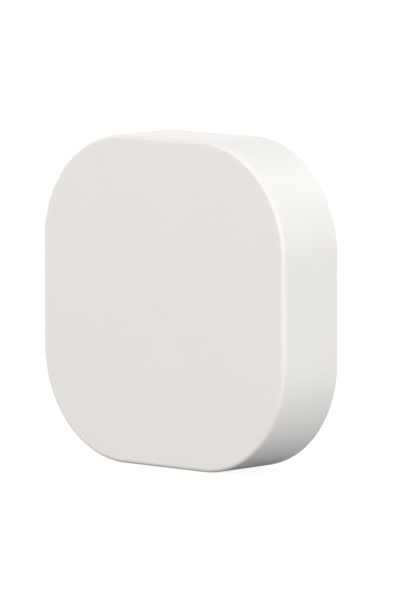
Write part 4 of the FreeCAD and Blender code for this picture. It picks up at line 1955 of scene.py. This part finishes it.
@dataclass
class Studio:
    """Camera, lamps, world and floor, in metres.

    Attributes:
        target: Middle of the button.
        floor_z: Height of the floor.
        azimuth: Degrees of the camera round the button, positive to the right.
        elevation: Degrees of the camera above it.
        roll: Degrees by which the camera is turned about its own axis.
        focal_pixels: Focal length in pixels of the photograph.
        picture: Width and height of the photograph.
        object_pixel: Where the middle of the button lies in it.
        sky: Height of the sky, as a sine, and its light there.
        floor_dim: How pale the floor is where it lights the button.
        floor_shown: How pale it is to the camera, under its glow.
        floor_mirrored: How pale it is in gloss and clear pieces.
        floor_white: Paleness and glow together.
    """

    target: Vector
    floor_z: float
    azimuth: float = 43.385
    elevation: float = 6.227
    roll: float = -0.209
    distance: float = 1.09
    focal_pixels: float = 8010.0
    picture: tuple[int, int] = (401, 601)
    object_pixel: Point2 = (189.12, 299.85)
    sensor: float = 36.0
    clip: Point2 = (0.05, 50.0)
    lamps: tuple[Softbox, ...] = (
        Softbox("front", -15, 12, 0.73, colour=(1.0, 0.975, 0.955)),
        Softbox("key", 65, 5, 0.58, 0.5),
        Softbox("right", 98, 5, 0.56, 0.5),
        Softbox("left", -102, 16, 0.42),
        Softbox("rear", 190, 30, 0.45, 3.0, 2.0),
        Softbox("glint", 166, 41, 0.09, 0.5),
        Softbox("top", 0, 88, 0.24),
    )
    sky: tuple[Point2, ...] = ((-0.6, 0.12), (-0.15, 0.2), (0.15, 0.7), (0.5, 0.07), (1.0, 0.0))
    floor_radius: float = 1.0
    floor_depth: float = 0.005
    floor_steps: int = 96
    floor_mottle: float = 0.005
    mottle_scale: float = 40.0
    floor_dim: float = 0.02
    floor_shown: float = 0.2
    floor_mirrored: float = 1.0
    floor_white: float = 1.1

    def camera(self) -> None:
        """Sets the camera at the photograph's angle, aimed a little beside the button."""
        data = bpy.data.cameras.new("camera")
        data.sensor_fit = "VERTICAL"
        data.sensor_height = data.sensor_width = self.sensor
        data.lens = self.sensor * self.focal_pixels / self.picture[1]
        data.clip_start, data.clip_end = self.clip
        back = away(self.azimuth, self.elevation)
        place = self.target + back * self.distance
        right = Vector((0, 0, 1)).cross(back).normalized()
        up = back.cross(right)
        cos, sin = math.cos(math.radians(self.roll)), math.sin(math.radians(self.roll))
        right, up = right * cos + up * sin, up * cos - right * sin
        size = self.distance / self.focal_pixels
        across, down = (
            (length / 2 - pixel) * size for length, pixel in zip(self.picture, self.object_pixel)
        )
        back = (place - self.target - right * across + up * down).normalized()
        right = (right - back * right.dot(back)).normalized()
        camera = linked("camera", data)
        camera.matrix_world = Matrix((right, back.cross(right), back)).transposed().to_4x4()
        camera.location = place
        bpy.context.scene.camera = camera

    def light(self) -> None:
        """Sets up the lamps, at a plain level."""
        for box in self.lamps:
            data = bpy.data.lights.new(box.name, "AREA")
            data.shape = "SQUARE"
            data.size = box.width
            data.energy = box.level * (math.pi * box.distance) ** 2
            data.color = box.colour
            direction = away(box.azimuth, box.elevation)
            lamp = linked(box.name, data)
            lamp.location = self.target + direction * box.distance
            lamp.rotation_euler = direction.to_track_quat("Z", "Y").to_euler()
            lamp.visible_camera = False

    def world(self) -> None:
        """Makes a world that is white to the camera, and else lights from about the horizon."""
        world = bpy.data.worlds.new("studio")
        bpy.context.scene.world = world
        world.use_nodes = True
        board = NodeBoard(world.node_tree)
        way = board.add("ShaderNodeTexCoord").outputs["Generated"]
        height = board.add("ShaderNodeSeparateXYZ", {0: way}).outputs[2]
        place = board.first("ShaderNodeMapRange", {0: height, 1: -1.0, 2: 1.0})
        ramp = board.add("ShaderNodeValToRGB", {0: place})
        stops = ramp.color_ramp.elements
        stops.remove(stops[1])
        for rise, light in self.sky:
            stops.new((rise + 1) / 2).color = (light, light, light, 1.0)
        stops.remove(stops[0])
        background = world.node_tree.nodes["Background"].inputs
        board.join((1.0, 1.0, 1.0, 1.0), background["Color"])
        strength = board.first("ShaderNodeMix", {0: seen(board), 2: ramp.outputs[0], 3: 1.0})
        board.join(strength, background["Strength"])

    def floor(self) -> None:
        """Makes the pale floor that the button stands on, which keeps its shadow."""
        turns = [step / self.floor_steps * math.tau for step in range(self.floor_steps)]
        radius, top = self.floor_radius / MM, self.floor_z / MM
        outline = [(math.cos(turn) * radius, math.sin(turn) * radius) for turn in turns]
        levels = (top - self.floor_depth / MM, top)
        floor = loft("floor", [[(x, y, z) for x, y in outline] for z in levels])
        material = bpy.data.materials.new("pale_floor")
        material.use_nodes = True
        board, nodes = NodeBoard(material.node_tree), material.node_tree.nodes
        nodes.remove(nodes["Principled BSDF"])
        mottle = board.first("ShaderNodeTexNoise", {"Scale": self.mottle_scale})
        inputs = {0: mottle, 3: -self.floor_mottle, 4: self.floor_mottle}
        tone = board.first("ShaderNodeMapRange", inputs)
        direct = board.add("ShaderNodeLightPath").outputs["Is Camera Ray"]
        inputs = {0: direct, 2: self.floor_mirrored, 3: self.floor_shown}
        share = board.first("ShaderNodeMix", inputs)
        shown = board.first("ShaderNodeBsdfDiffuse", {"Color": board.maths("ADD", share, tone)})
        glow = board.maths("SUBTRACT", self.floor_white, share)
        glow = board.first("ShaderNodeEmission", {"Strength": glow})
        pale = board.first("ShaderNodeAddShader", {0: shown, 1: glow})
        dim = board.first("ShaderNodeBsdfDiffuse", {"Color": (*[self.floor_dim] * 3, 1.0)})
        mixed = board.first("ShaderNodeMixShader", {0: seen(board), 1: dim, 2: pale})
        board.join(mixed, nodes["Material Output"].inputs["Surface"])
        floor.data.materials.append(material)

    def build(self) -> None:
        """Sets up the studio."""
        self.camera()
        self.light()
        self.world()
        self.floor()
        bpy.context.scene.view_settings.view_transform = "Standard"


def seen(board: NodeBoard) -> Socket:
    """Tells rays that look at something from rays that only light it.

    Args:
        board: The nodes of the world or a material.

    Returns:
        1 for rays of the camera, gloss and clear pieces, and 0 for plain light.
    """
    path = board.add("ShaderNodeLightPath").outputs
    gloss = board.maths("MAXIMUM", path["Is Glossy Ray"], path["Is Transmission Ray"])
    return board.maths("MAXIMUM", path["Is Camera Ray"], gloss)


def plain(box: tuple[Vector, Vector]) -> list[list[float]]:
    """Corners of a box as lists of numbers."""
    return [[float(value) for value in corner] for corner in box]


def main() -> None:
    logging.basicConfig(level=logging.INFO, format="%(name)s: %(message)s")
    low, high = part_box("cap_shell")
    Studio(target=(low + high) / 2, floor_z=low.z).build()
    bench = Workbench()
    chassis = Chassis(bench)
    board, cell = Board(bench, chassis.screw_place), CoinCell(bench)
    switches = TactSwitch(bench, "main_switch", -1), TactSwitch(bench, "reset_switch", 1)
    for part in (Cap(bench), BackPlate(bench), chassis, board, cell, *switches):
        part.build()
    log.info("%d of %d nodes dressed", bench.count, len(frame["nodes"]))


if __name__ == "__main__":
    main()
